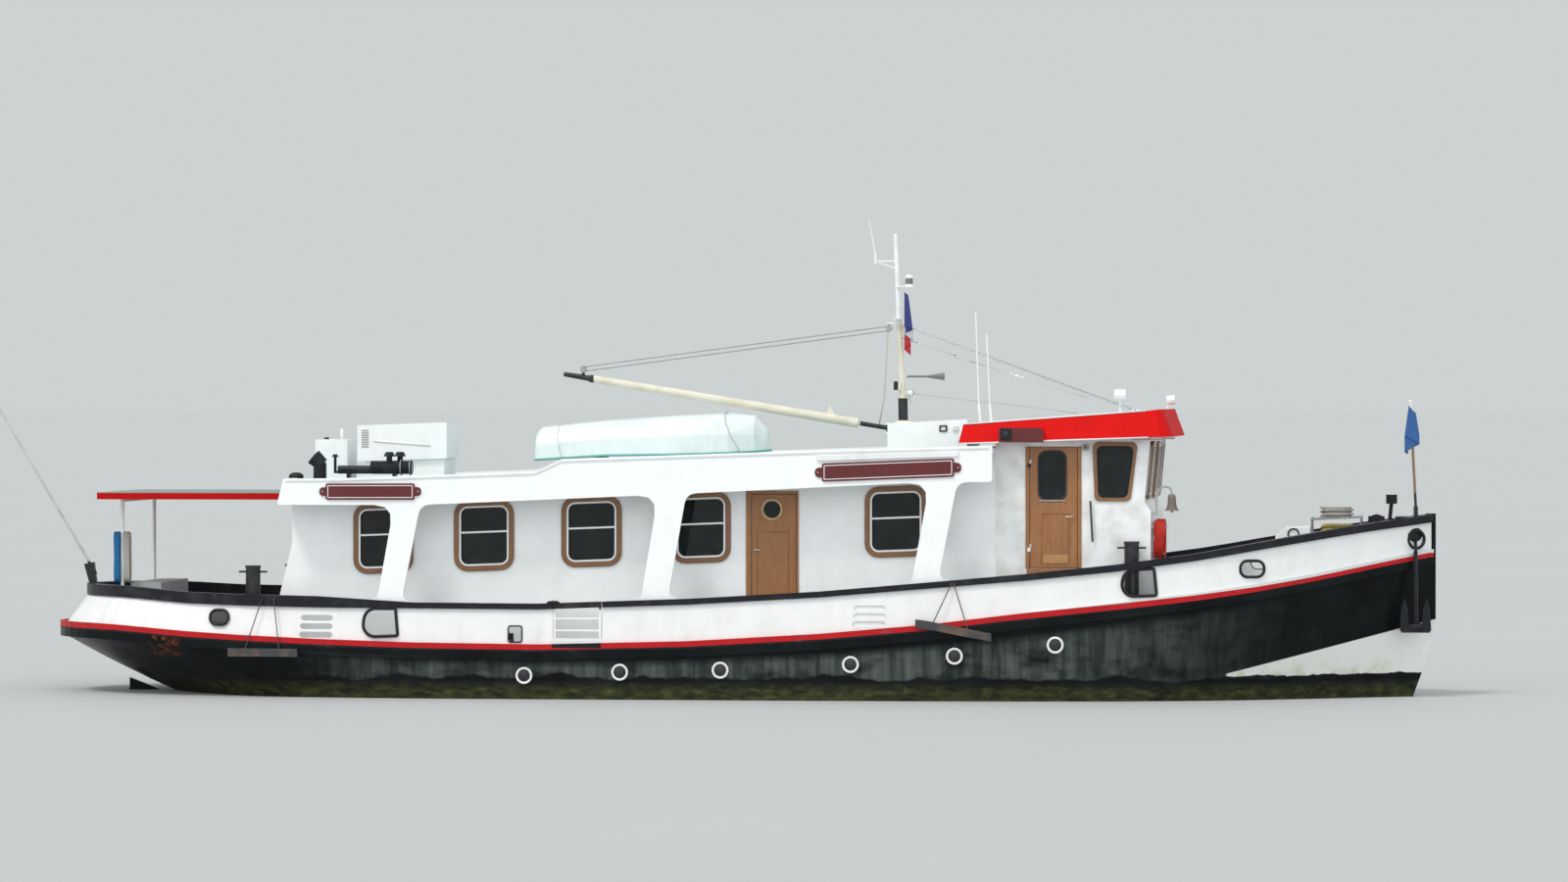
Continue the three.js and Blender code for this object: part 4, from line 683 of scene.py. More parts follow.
def hose_end(name, at, towards):
    """A brass coupling with a collar, pushed over the hose's end."""
    direction = Vector(towards) - Vector(at)
    piece = Piece(name, old_brass)
    profile = [
        (-0.03, 0.0155), (-0.03, 0.018), (0.0, 0.018), (0.004, 0.021), (0.026, 0.021), (0.03, 0.014),
        (0.055, 0.012),
    ]
    piece.turned(at, direction, profile, sides=16)
    return piece.finish()


first, second = hose_points[0], hose_points[1]
last, before_last = hose_points[-1], hose_points[-2]
coupling = hose_end("hose_coupling", first, [2 * a - b for a, b in zip(first, second)])
nozzle = hose_end("hose_nozzle", last, [2 * a - b for a, b in zip(last, before_last)])

HANK_LINE = 0.014
HANK_Y = -1.19
HANK_INNER_RADIUS = 0.0426
# Pitch of the turns, in diameters of the line
HANK_ROOM = 1.02
HAWSER_ROOM = 1.003
RACK_X = 9.615

# Two hanks over the cross-bar: name, x, middle height, half of the straight part
for name, x, z, half_straight, material, slot in (
    ("blue", -10.137, 2.211, 0.325, blue_line, "blue_rope"),
    ("white", -9.973, 2.211, 0.325, pale_line, "pale_rope"),
):
    points = hanging_coil(
        (x, HANK_Y, z), HANK_INNER_RADIUS, half_straight, HANK_LINE * HANK_ROOM, columns=7, layers=4
    )
    line, line_length = rope(f"hank_{name}", points, HANK_LINE, material, f"rope_hank_{name}")

# Two hawsers on the rack: name, foot, inner radius, diameter, columns and layers
for name, foot, radius, diameter, columns, layers, material, slot in (
    ("yellow", 2.6403, 0.1506, 0.033, 4, 4, yellow_hawser, "yellow_rope"),
    ("grey", 2.8803, 0.1197, 0.035, 5, 5, grey_hawser, "pale_rope"),
):
    points = flat_coil(RACK_X, foot + diameter / 2, radius, diameter * HAWSER_ROOM, columns, layers)
    line, line_length = rope(f"hawser_{name}", points, diameter, material, f"rope_coil_{name}")


# Flags hang limp: threads along the hoist stay upright, and those along the fly drop and fold

def plain_cloth(name, light, dark):
    return cloth(name, lambda paint: paint.mix(paint.noise(0.12, 3), light, dark))


FLAG_COLUMNS = 72
FLAG_ROWS = 18
CLOTH_THICKNESS = 0.0015


def limp_flag(name, stripes, foot_of_mast, hoist, fly, drops, run, pitch, node, centred=0.0):
    """drops holds the slope of the upper edge in each stripe; run and pitch lay the folds out in plan."""
    x0, y0, top = foot_of_mast
    columns, rows = FLAG_COLUMNS, FLAG_ROWS
    height = hoist + sum(fly / len(drops) * sin(a) for a in drops)
    plan = [(0.0, 0.0)]
    fallen = [0.0]
    went = 0.0
    for i in range(columns):
        angle = drops[min(len(drops) - 1, int(i / columns * len(drops)))]
        fallen.append(fallen[-1] + fly / columns * sin(angle))
        went += fly / columns * cos(angle)
        turn = run + pi * pitch / 2
        number, rest = divmod(went, turn)
        if rest < run:
            along, deep = rest, 0.0
        else:
            a = (rest - run) / (pitch / 2)
            along, deep = run + pitch / 2 * sin(a), pitch / 2 * (1 - cos(a))
        if number % 2:
            along = run - along
        plan.append((along, number * pitch + deep))
    points = []
    for j in range(rows + 1):
        for i in range(columns + 1):
            along, deep = plan[i]
            down = hoist * j / rows + fallen[i]
            spread = 0.4 + 0.6 * min(1, down / height * 1.6)
            ripple = 0.004 * sin(i * 0.9 + j * 0.5)
            x = x0 + run * centred * (1 - spread) + along * spread
            points.append((x, y0 + deep + ripple, top - down))
    wide = columns + 1
    piece = Piece(name, *stripes)
    for band in range(len(stripes)):
        low, high = band * columns // len(stripes), (band + 1) * columns // len(stripes)
        corners = [points[j * wide + i] for j in range(rows + 1) for i in range(low, high + 1)]
        n = high - low + 1
        starts = [j * n + i for j in range(rows) for i in range(n - 1)]
        cells = [(k, k + 1, k + n + 1, k + n) for k in starts]
        piece.use(band).faces(corners, cells, smooth=True)
    made = piece.finish()
    thick = made.modifiers.new("cloth", "SOLIDIFY")
    thick.thickness = CLOTH_THICKNESS
    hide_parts(node)


blue_bunting = plain_cloth("blue_bunting", (0.035, 0.05, 0.26), (0.02, 0.03, 0.16))
white_bunting = plain_cloth("white_bunting", (0.66, 0.66, 0.70), (0.5, 0.5, 0.56))
red_bunting = plain_cloth("red_bunting", (0.62, 0.015, 0.03), (0.42, 0.01, 0.02))
jack_blue = plain_cloth("jack_bunting", (0.03, 0.15, 0.42), (0.02, 0.10, 0.32))
limp_flag(
    "courtesy_flag", (blue_bunting, white_bunting, red_bunting), (2.63, -0.136, 6.52), 0.56, 0.87,
    (radians(20), radians(38), radians(42)), 0.135, 0.012, "flag",
)
limp_flag(
    "bow_jack", (jack_blue,), (10.703, -0.03, 4.685), 0.50, 0.62, (radians(28),), 0.232, 0.009, "pennant",
    centred=0.45,
)


WHITE_NODES = (
    "house_side_starboard", "house_side_port", "house_aft_wall", "screen_starboard", "screen_port",
    "wheelhouse_side_starboard", "wheelhouse_side_port", "wheelhouse_front", "mast_casing", "roof_cabinet",
)
BLACK_NODES = (
    "rail_aft", "rail_fore", "cowl_vent", "exhaust_pipe", "windlass", "anchor_starboard", "anchor_port",
)
BULWARK_NODES = ["bulwark_stern"]
for side in ("starboard", "port"):
    BULWARK_NODES += [f"bulwark_{part}_{side}" for part in ("aft", "middle", "fore")]


def dress(names, material):
    for name in names:
        mesh = NODES[name].data
        mesh.materials.clear()
        mesh.materials.append(material)


def top_painted(name, under, top, from_height):
    """One paint under a height and another on faces that look up above it."""
    paint = Paint(name, 0.4)
    facing = paint.node("ShaderNodeNewGeometry").outputs["Normal"]
    split = paint.node("ShaderNodeSeparateXYZ")
    paint.put(facing, split.inputs[0])
    up = paint.step(split.outputs["Z"], 0.75, 0.85)
    patches = paint.patches(0.6, 5, 0.4, 0.75)
    soiled = paint.mix(paint.times(patches, 0.35), top, tuple(c * 0.6 for c in top))
    side = paint.mix(paint.times(patches, 0.1), under, tuple(c * 0.7 for c in under))
    above = paint.step(paint.axis("Z"), from_height, from_height + 0.01)
    paint.colour(paint.mix(paint.times(up, above), side, soiled))
    paint.uneven(0.5, 0.004, 0.3)
    return paint.material


def deck_paint():
    """Grey deck with four black pairs of bitts on it."""
    paint = Paint("deck_and_bitts", 0.7)
    x, y, z = paint.axis("X"), paint.axis("Y"), paint.axis("Z")
    outboard = paint.step(paint.math("ABSOLUTE", y), 1.72, 1.73)
    aft = paint.band(x, -7.99, -7.51, 0.01)
    fore = paint.band(x, 6.19, 6.67, 0.01)
    floor = paint.plus(1.02, paint.times(fore, 0.62))
    standing = paint.times(outboard, paint.step(z, floor, paint.plus(floor, 0.005)))
    bitts = paint.times(paint.plus(aft, fore), standing)
    soiled = paint.patches(0.5, 5, 0.4, 0.7)
    plate = paint.mix(paint.times(soiled, 0.6), (0.16, 0.175, 0.175), (0.08, 0.07, 0.055))
    rubbed = paint.mix(paint.patches(0.1, 5, 0.5, 0.75), (0.010, 0.011, 0.014), (0.04, 0.04, 0.045))
    paint.colour(paint.mix(bitts, plate, rubbed))
    paint.rough(paint.minus(0.75, paint.times(bitts, 0.4)))
    paint.uneven(0.15, 0.003, 0.3)
    return paint.material


def awning_paint():
    """Red edge, sea-green top, and white posts and ledge below the frame."""
    paint = Paint("awning_paint", 0.6, shine=0.05)
    z = paint.axis("Z")
    patches = paint.patches(0.5, 5, 0.4, 0.75)
    roof = paint.mix(paint.times(patches, 0.4), (0.27, 0.32, 0.31), (0.16, 0.21, 0.20))
    edge = paint.mix(paint.times(patches, 0.3), (0.46, 0.008, 0.008), (0.22, 0.008, 0.008))
    posts = paint.mix(paint.times(patches, 0.1), WHITE, (0.5, 0.45, 0.36))
    above = paint.mix(paint.step(z, 3.262, 3.266), edge, roof)
    paint.colour(paint.mix(paint.step(z, 3.153, 3.157), posts, above))
    paint.uneven(0.5, 0.004, 0.3)
    return paint.material


def gate_paint():
    """Black rail over a white frame."""
    paint = Paint("gate_paint", 0.4, shine=0.3)
    patches = paint.patches(0.3, 5, 0.4, 0.75)
    frame = paint.mix(paint.times(patches, 0.2), WHITE, (0.5, 0.45, 0.36))
    rail = paint.mix(patches, (0.010, 0.011, 0.014), (0.04, 0.04, 0.045))
    paint.colour(paint.mix(paint.step(paint.axis("Z"), 1.438, 1.442), frame, rail))
    paint.uneven(0.2, 0.002, 0.3)
    return paint.material


# Columns: x and half-breadth of the deck edge, height of the strake, height and lean of the rail
SHELL = [
    (-10.11, 1.74, 1.08, 1.69, 0.305), (-9.5, 2.05, 1.045, 1.66, 0.24), (-8.8, 2.28, 0.995, 1.615, 0.19),
    (-7.9, 2.45, 0.945, 1.59, 0.13), (-6.6, 2.55, 0.888, 1.568, 0.075), (-5.0, 2.59, 0.84, 1.535, 0.045),
    (-3.0, 2.60, 0.818, 1.525, 0.04), (-0.6, 2.60, 0.88, 1.61, 0.04), (1.5, 2.60, 1.005, 1.733, 0.04),
    (3.2, 2.60, 1.155, 1.88, 0.035), (4.8, 2.545, 1.35, 2.022, 0.025), (6.2, 2.44, 1.51, 2.17, 0.015),
    (7.4, 2.23, 1.655, 2.335, 0.008), (8.4, 1.90, 1.80, 2.51, 0.0), (9.3, 1.44, 1.96, 2.665, 0.0),
    (10.0, 0.99, 2.10, 2.778, 0.0), (10.5, 0.64, 2.20, 2.848, 0.0), (10.85, 0.35, 2.265, 2.895, 0.0),
]
# Middle of the red strake along the hull: x and height
SHEER = [(-11.3, 1.092), (-10.1, 1.080)]
SHEER += [(x, height) for x, _, height, _, _ in SHELL[1:-1]]
SHEER.append((11.1, 2.312))


def strake_paint():
    """The red line on the strake: black runs on below it, and above it at the bow and under the gates."""
    paint = Paint("strake_paint", 0.45, shine=0.15)
    x, z = paint.axis("X"), paint.axis("Z")
    share = paint.step(x, SHEER[0][0], SHEER[-1][0])
    span = SHEER[-1][0] - SHEER[0][0]
    stops = [((at - SHEER[0][0]) / span, (height / 3,) * 3) for at, height in SHEER]
    line = paint.times(paint.ramp(share, stops), 3.0)
    level = paint.minus(z, line)
    forward = paint.step(x, 4.5, 9.0)
    foot = paint.minus(-0.03, paint.times(forward, 0.06))
    head = paint.minus(0.062, paint.times(forward, 0.058))
    patches = paint.patches(0.4, 5, 0.4, 0.75)
    worn = paint.step(paint.noise(0.12, 5, paint.scaled((0.35, 1, 1))), 0.62, 0.72)
    line_red = paint.mix(paint.times(patches, 0.6), (0.50, 0.012, 0.016), (0.33, 0.010, 0.012))
    line_red = paint.mix(paint.times(worn, 0.35), line_red, (0.12, 0.11, 0.11))
    black_side = paint.mix(worn, (0.011, 0.012, 0.016), (0.06, 0.06, 0.062))
    above = paint.step(paint.minus(level, head), 0.0, 0.004)
    below = paint.step(paint.minus(level, foot), 0.004, 0.0)
    under_gate = paint.times(paint.band(x, -2.77, -1.97), paint.step(z, 0.822, 0.826))
    top = paint.mix(paint.step(x, 4.4, 4.6), black_side, (0.66, 0.67, 0.67))
    colour = paint.mix(below, line_red, black_side)
    colour = paint.mix(above, colour, top)
    paint.colour(paint.mix(under_gate, colour, black_side))
    paint.uneven(0.3, 0.003, 0.35)
    return paint.material


def two_paints(name, first, second, share_of, roughness=(0.4, 0.4)):
    """second where share_of(paint, x, y, z) is 1; each paint is (colour, duller colour)."""
    paint = Paint(name, roughness[0], shine=0.4)
    share = share_of(paint, paint.axis("X"), paint.math("ABSOLUTE", paint.axis("Y")), paint.axis("Z"))
    patches = paint.patches(0.3, 5, 0.42, 0.75)
    paint.colour(paint.mix(share, paint.mix(patches, *first), paint.mix(patches, *second)))
    low, high = roughness
    paint.rough(paint.plus(low, paint.times(share, high - low)))
    paint.uneven(0.2, 0.002, 0.3)
    return paint.material


# Pairs of a colour and its duller patches
ENAMEL_WHITE = (WHITE, (0.66, 0.66, 0.62))
CREAM = ((0.74, 0.71, 0.60), (0.62, 0.57, 0.44))
TAR = ((0.010, 0.012, 0.015), (0.035, 0.036, 0.04))
PALE_METAL = ((0.55, 0.56, 0.56), (0.38, 0.38, 0.37))
LEVER_METAL = ((0.6, 0.6, 0.58), (0.4, 0.4, 0.38))
DARK_BRASS = ((0.24, 0.20, 0.15), (0.13, 0.11, 0.09))
WOOD = ((0.40, 0.175, 0.055), (0.26, 0.10, 0.03))


# Where the second paint of a node shows, by place

def boom_ends(paint, x, y, z):
    return paint.plus(paint.step(x, -2.47, -2.475), paint.step(x, 1.895, 1.90))


def handrail(paint, x, y, z):
    return paint.times(paint.step(y, 1.868, 1.872), paint.step(z, 2.45, 2.46))


def staff_step(paint, x, y, z):
    return paint.step(z, 2.11, 2.105)


def gooseneck(paint, x, y, z):
    return paint.math("MAXIMUM", paint.step(z, 3.272, 3.276), paint.step(x, 6.92, 6.915))


def levers(paint, x, y, z):
    return paint.step(y, 1.8585, 1.860)


def mast_paint():
    """Cream mast, white above the crosstree; black foot and winch, grey horn and lantern."""
    paint = Paint("mast_paint", 0.4, shine=0.4)
    x, z = paint.axis("X"), paint.axis("Z")
    patches = paint.patches(0.3, 5, 0.42, 0.75)
    cream = paint.mix(patches, *CREAM)
    white_top = paint.mix(patches, *ENAMEL_WHITE)
    black_foot = paint.mix(patches, *TAR)
    grey = paint.mix(patches, (0.17, 0.17, 0.18), (0.10, 0.10, 0.105))
    foot = paint.band(z, 4.435, 4.80)
    winch = paint.times(paint.band(z, 4.92, 5.08), paint.step(x, 2.526, 2.522))
    horn = paint.times(paint.band(z, 5.07, 5.23), paint.step(x, 2.655, 2.66))
    lantern = paint.times(paint.band(z, 6.645, 6.745), paint.step(x, 2.62, 2.625))
    colour = paint.mix(paint.step(z, 6.0, 6.005), cream, white_top)
    colour = paint.mix(paint.math("MAXIMUM", foot, winch), colour, black_foot)
    paint.colour(paint.mix(paint.math("MAXIMUM", horn, lantern), colour, grey))
    paint.uneven(0.2, 0.002, 0.3)
    return paint.material


def staff_paint():
    """Weathered wood with a white truck and a black foot."""
    paint = Paint("bow_staff_paint", 0.5)
    z = paint.axis("Z")
    grain = paint.step(paint.noise(0.13, 6, paint.scaled((9, 9, 0.5))), 0.3, 0.72)
    wood = paint.mix(grain, (0.30, 0.19, 0.10), (0.16, 0.10, 0.05))
    colour = paint.mix(paint.step(z, 4.585, 4.59), wood, paint.mix(grain, *ENAMEL_WHITE))
    paint.colour(paint.mix(paint.step(z, 3.275, 3.27), colour, paint.mix(grain, *TAR)))
    paint.bump(grain, 0.0015, 0.4)
    return paint.material


dress(WHITE_NODES, white)
dress(["boom"], two_paints("boom_paint", CREAM, TAR, boom_ends))
dress(["mast"], mast_paint())
dress(
    ["wheelhouse_side_starboard", "wheelhouse_side_port"],
    two_paints("wheelhouse_side_paint", ENAMEL_WHITE, TAR, handrail),
)
dress(["ensign_staff"], two_paints("ensign_staff_paint", PALE_METAL, TAR, staff_step))
dress(["bell"], two_paints("bell_paint", DARK_BRASS, PALE_METAL, gooseneck, (0.35, 0.45)))
dress(["gate_starboard", "gate_port"], gate_paint())
dress(BLACK_NODES, black)
dress(["hull"], hull_black)
dress(BULWARK_NODES, bulwark_white)
dress(["strake_red"], strake_paint())
dress(["visor"], red)
dress(["main_deck"], deck_paint())
dress(["house_roof"], top_painted("house_roof", WHITE, SEA_GREEN, 3.3))
dress(["wheelhouse_roof"], top_painted("wheelhouse_roof", WHITE, (0.6, 0.7, 0.68), 4.3))
dress(["wheelhouse_bulkhead"], inside_grey)
dress(["awning"], awning_paint())
dress(["deck_box"], box_grey)
dress(["roof_locker"], white)
dress(["dinghy"], worn_paint("dinghy_white", (0.74, 0.82, 0.82), share=0.3))
dress(["forestays", "topping_lift", "rope_rack"], steel)
dress(["propeller"], bronze)
dress(["rudder"], hull_black)
dress(
    [f"{door}_door_{side}" for door in ("saloon", "wheelhouse") for side in ("starboard", "port")],
    two_paints("door_edge_paint", WOOD, LEVER_METAL, levers, (0.45, 0.25)),
)
dress(["bow_staff"], staff_paint())
dress(["fender_aft", "fender_fore"], grey_plank)


def sun_light(name, energy, spread, direction):
    """A sun that shines along direction, its disc spread over so many degrees."""
    sun = linked(name, bpy.data.lights.new(name, "SUN"))
    sun.data.energy = energy
    sun.data.angle = radians(spread)
    sun.rotation_euler = Vector(direction).to_track_quat("-Z", "Y").to_euler()
    return sun


def make_stage():
    """A pale floor at the water's surface, a soft high key light and an even sky."""
    paint = Paint("floor", 0.7)
    paint.colour(paint.mix(paint.noise(8, 3), (0.485, 0.50, 0.505), (0.505, 0.52, 0.525)))
    mesh = bpy.data.meshes.new("floor")
    reach = 1500
    corners = [(-reach, -reach, 0), (reach, -reach, 0), (reach, reach, 0), (-reach, reach, 0)]
    mesh.from_pydata(corners, [], [(0, 1, 2, 3)])
    mesh.materials.append(paint.material)
    floor = linked("floor", mesh)

    key = sun_light("key", 1.3, 12, (0.32, 0.44, -0.84))
    key.data.color = (1.0, 0.97, 0.92)
    sun_light("fill", 1.65, 150, (-0.1, 1.0, -0.12))

    world = bpy.data.worlds.new("sky")
    world.use_nodes = True
    sky = world.node_tree.nodes["Background"].inputs
    sky["Color"].default_value = (0.655, 0.69, 0.70, 1)
    sky["Strength"].default_value = 0.93
    bpy.context.scene.world = world
    bpy.context.scene.view_settings.view_transform = "Standard"


make_stage()


# Windows and doors of the house and the wheelhouse

HOUSE_WALL = -1.85
PAINT_SKIN = 0.0003
OUTBOARD = (0, -1, 0)
UP = (0, 0, 1)
ON_HOUSE = side_place(HOUSE_WALL - PAINT_SKIN)
WINDOW_HEIGHT = 0.985
WINDOW_CORNER = 0.15
# Middle x, middle z, width of the hole, and how far a blind is drawn inside
HOUSE_WINDOWS = [
    (-5.625, 2.545, 0.83, 0.0),
    (-3.985, 2.59, 0.83, 1.0),
    (-2.24, 2.66, 0.83, 0.45),
    (-0.47, 2.728, 0.81, 0.0),
    (2.66, 2.832, 0.85, 0.0),
]
BLIND_FOLDS = 24


def blind_colour(paint):
    return paint.mix(paint.noise(0.3, 3), (0.30, 0.30, 0.19), (0.24, 0.25, 0.17))


blind_cloth = cloth("blind_cloth", blind_colour)
# Black rubber for the seals; it also serves as painted shade for the porthole panes and the sidelight lens.
rubber_and_shade = worn_paint("rubber_gasket_and_painted_shade", (0.02, 0.02, 0.022), share=0.2, roughness=0.7)


def both_sides(make):
    for side in ("starboard", "port"):
        make(side, side == "port")


def circle(x, z, radius, sides=32):
    angles = [2 * pi * i / sides for i in range(sides)]
    return [(x + radius * cos(a), z + radius * sin(a)) for a in angles]


def blind(name, x, z, width, drawn, mirror):
    """A rippled blind that hangs from a batten over the window's inside."""
    piece = Piece(name, blind_cloth, mirror=mirror)
    half = width / 2 + 0.03
    top = z + WINDOW_HEIGHT / 2 + 0.03
    foot = top - drawn * (WINDOW_HEIGHT + 0.05)
    y = HOUSE_WALL + 0.1
    n = BLIND_FOLDS + 1
    ripple = [(x - half + 2 * half * i / BLIND_FOLDS, 0.006 * sin(i * 1.9)) for i in range(n)]
    points = [(u, y + w + thick, level) for thick in (0, 0.003) for level in (foot, top) for u, w in ripple]
    faces = [(0, n, 3 * n, 2 * n), (n - 1, 3 * n - 1, 4 * n - 1, 2 * n - 1)]
    for i in range(BLIND_FOLDS):
        faces.append((i, i + 1, n + i + 1, n + i))
        faces.append((2 * n + i + 1, 2 * n + i, 3 * n + i, 3 * n + i + 1))
        faces.append((n + i, n + i + 1, 3 * n + i + 1, 3 * n + i))
        faces.append((i + 1, i, 2 * n + i, 2 * n + i + 1))
    piece.faces(points, faces, smooth=True)
    piece.box((x - half, y - 0.012, top - 0.005), (x + half, y + 0.03, top + 0.03), 0.006)
    piece.finish(weld=False)


def house_window(name, x, z, width, drawn, mirror):
    """A wood surround, a white frame with a bar across it, a rubber seal and a pane."""
    def edge(grow):
        return tilted_box(x, z, width, WINDOW_HEIGHT, WINDOW_CORNER, grow=grow)

    wood = Piece(name + "_surround", frame_wood, mirror=mirror)
    wood.slab([edge(0.075), edge(-0.012)], side_place(HOUSE_WALL + 0.012), 0.046, 0.009)
    wood.finish()
    window = Piece(name, white, glass, rubber_and_shade, mirror=mirror)
    window.slab([edge(-0.012), edge(-0.042)], side_place(HOUSE_WALL + 0.03), 0.058, 0.006)
    window.slab([edge(-0.040), edge(-0.052)], side_place(HOUSE_WALL + 0.03), 0.04, 0.003, slot=2)
    half = width / 2 - 0.045
    rise = half * math.tan(WINDOW_TILT)
    foot = z + 0.045
    head = foot + 0.03
    bar = [(x - half, foot - rise), (x + half, foot + rise), (x + half, head + rise), (x - half, head - rise)]
    window.slab([bar], side_place(HOUSE_WALL + 0.028), 0.05, 0.005, slot=0)
    window.slab([edge(-0.046)], side_place(HOUSE_WALL + 0.036), 0.006, slot=1)
    window.finish()
    if drawn:
        blind(name + "_blind", x, z, width, drawn, mirror)


def house_windows(side, mirror):
    for number, (x, z, width, drawn) in enumerate(HOUSE_WINDOWS, 1):
        house_window(f"house_window_{side}_{number}", x, z, width, drawn, mirror)


both_sides(house_windows)


# Doors: the leaf is the frame's; rails, panels, glass and furniture are added to it

SALOON_LEAF = {"x": (0.343, 1.057), "z": (1.123, 3.262), "y": -1.84}
SALOON_PANEL = (0.431, 0.951, 1.20, 2.667)
PORTHOLE = (0.672, 3.02)
BRIDGE_LEAF = {"x": (4.798, 5.552), "z": (2.105, 4.022), "y": -1.845}
BRIDGE_PANEL = (4.983, 5.438, 2.165, 2.958)
RAIL_PROUD = 0.012
light_wood = varnished("door_wood_light", base=(0.55, 0.29, 0.11), dark=(0.38, 0.18, 0.06))


def panelled(name, body, leaf, light, panel, mirror):
    """Stiles and rails as one layer, open at the light and the panel, and a raised field in the panel."""
    place = side_place(leaf["y"] - PAINT_SKIN)
    px0, px1, pz0, pz1 = panel
    piece = Piece(name, door_wood, light_wood, mirror=mirror, body=body)
    piece.slab([rect(*leaf["x"], *leaf["z"]), light, rect(*panel)], place, RAIL_PROUD, 0.003)
    piece.slab([rect(px0 + 0.02, px1 - 0.02, pz0 + 0.02, pz1 - 0.02)], place, 0.009, 0.004)
    return piece


def saloon_door(side, mirror):
    body = "saloon_door_" + side
    y = SALOON_LEAF["y"]
    panelled(body + "_panels", body, SALOON_LEAF, circle(*PORTHOLE, 0.15), SALOON_PANEL, mirror).finish()
    light = Piece(body + "_porthole", old_brass, glass, mirror=mirror, body=body)
    light.slab([circle(*PORTHOLE, 0.178), circle(*PORTHOLE, 0.136)], side_place(y - 0.0125), 0.018, 0.006)
    light.slab([circle(*PORTHOLE, 0.149), circle(*PORTHOLE, 0.134)], side_place(y + 0.04), 0.05)
    light.slab([circle(*PORTHOLE, 0.141)], side_place(y + 0.02), 0.006, slot=1)
    light.finish()
    jamb = Piece("saloon_jamb_" + side, door_wood, mirror=mirror)
    outside = [(0.254, 1.10), (0.254, 3.315), (1.10, 3.315), (1.10, 1.10)]
    inside = [(1.066, 1.10), (1.066, 3.271), (0.334, 3.271), (0.334, 1.10)]
    jamb.slab([outside + inside], ON_HOUSE, 0.022, 0.004)
    jamb.finish()


def bridge_door(side, mirror):
    body = "wheelhouse_door_" + side
    y = BRIDGE_LEAF["y"]
    hole = rect(4.935, 5.38, 3.176, 3.96, 0.13)
    door = panelled(body + "_panels", body, BRIDGE_LEAF, hole, BRIDGE_PANEL, mirror)
    door.slab([rect(5.008, 5.413, 2.175, 2.31)], side_place(y - 0.009), 0.008, 0.002, slot=1)
    door.finish()
    light = Piece(body + "_light", rubber_and_shade, glass, bright_steel, mirror=mirror, body=body)
    seal = [rect(4.925, 5.39, 3.166, 3.97, 0.14), rect(4.955, 5.36, 3.196, 3.94, 0.115)]
    light.slab(seal, side_place(y - 0.0125), 0.014, 0.005)
    light.slab([rect(4.941, 5.374, 3.182, 3.954, 0.125)], side_place(y + 0.02), 0.006, slot=1)
    light.use(2).box((4.945, y - 0.03, 3.164), (5.37, y - 0.012, 3.181), 0.003)
    light.finish()
    jamb = Piece("wheelhouse_jamb_" + side, door_wood, mirror=mirror)
    for x0, x1 in ((4.73, 4.789), (5.561, 5.62)):
        jamb.slab([rect(x0, x1, 2.097, 4.03)], ON_HOUSE, 0.02, 0.004)
    jamb.box((4.75, -1.872, 1.99), (5.60, -1.8503, 2.092), 0.004)
    jamb.finish()


def doors(side, mirror):
    saloon_door(side, mirror)
    bridge_door(side, mirror)


both_sides(doors)


# Boards, frames and lamps on the screens and the wheelhouse

# Black paint for frames and fittings; it also closes the hawse holes as painted shade.
black_frame_and_shade = worn_paint(
    "black_frame_and_painted_shade", (0.012, 0.013, 0.016), dirt=(0.05, 0.05, 0.05), share=0.4, shine=0.25
)
white_trim = worn_paint("white_trim", (0.78, 0.80, 0.80), share=0.15)
lamp_lens = worn_paint("lamp_lens", (0.70, 0.72, 0.70), share=0.2, roughness=0.15)
SCREEN = -2.5
ON_SCREEN = side_place(SCREEN - PAINT_SKIN)
EAR_LAP = 0.02


def name_board(name, foot_aft, foot_fore, height, ears, mirror):
    """A blank board on the fascia with a raised pale border and an ear at each end."""
    (x0, z0), (x1, z1) = foot_aft, foot_fore
    board = Piece(name, dark_red_and_shade, white_trim, bright_steel, mirror=mirror)

    def within(inset):
        aft, fore = x0 + inset, x1 - inset
        head = height - inset
        return [(aft, z0 + inset), (fore, z1 + inset), (fore, z1 + head), (aft, z0 + head)]

    board.slab([rounded(within(0), 0.03)], ON_SCREEN, 0.03, 0.006)
    board.slab([within(0.03), within(0.042)], side_place(SCREEN - PAINT_SKIN - 0.029), 0.004, 0.001, slot=1)
    half = height * 0.27
    for end, foot, edge in ((x0, z0, -1), (x1, z1, 1)):
        middle = foot + height / 2
        root, tip = end - edge * EAR_LAP, end + edge * ears
        ear = [(root, middle - half), (tip, middle - half), (tip, middle + half), (root, middle + half)]
        if edge < 0:
            ear.reverse()
        board.slab([rounded(ear, (0, half * 0.9, half * 0.9, 0))], ON_SCREEN, 0.024, 0.005, slot=0)
        screw = [(0, 0.012), (0.004, 0.010), (0.005, 0.0)]
        board.use(2).turned((tip - edge * 0.05, SCREEN - 0.023, middle), OUTBOARD, screw, sides=10)
    board.finish()


def screen_trim(side, mirror):
    name_board("name_board_aft_" + side, (-6.44, 3.172), (-5.0, 3.176), 0.262, 0.105, mirror)
    name_board("name_board_fore_" + side, (1.547, 3.4745), (3.647, 3.556), 0.29, 0.115, mirror)
    trim = Piece("screen_trim_" + side, white_trim, mirror=mirror)
    trim.slab([[(1.47, 3.80), (3.72, 3.872), (3.72, 3.965), (1.47, 3.895)]], ON_SCREEN, 0.03, 0.01)
    top_edge = [
        (-7.10, 3.50), (-6.25, 3.505), (-4.89, 3.552), (-3.06, 3.618), (-2.63, 3.815), (-0.6, 3.886),
        (1.44, 3.956), (3.16, 4.002), (4.20, 4.036),
    ]
    trim.slab([top_edge + [(u, v - 0.035) for u, v in reversed(top_edge)]], ON_SCREEN, 0.018, 0.005)
    trim.finish()


both_sides(screen_trim)


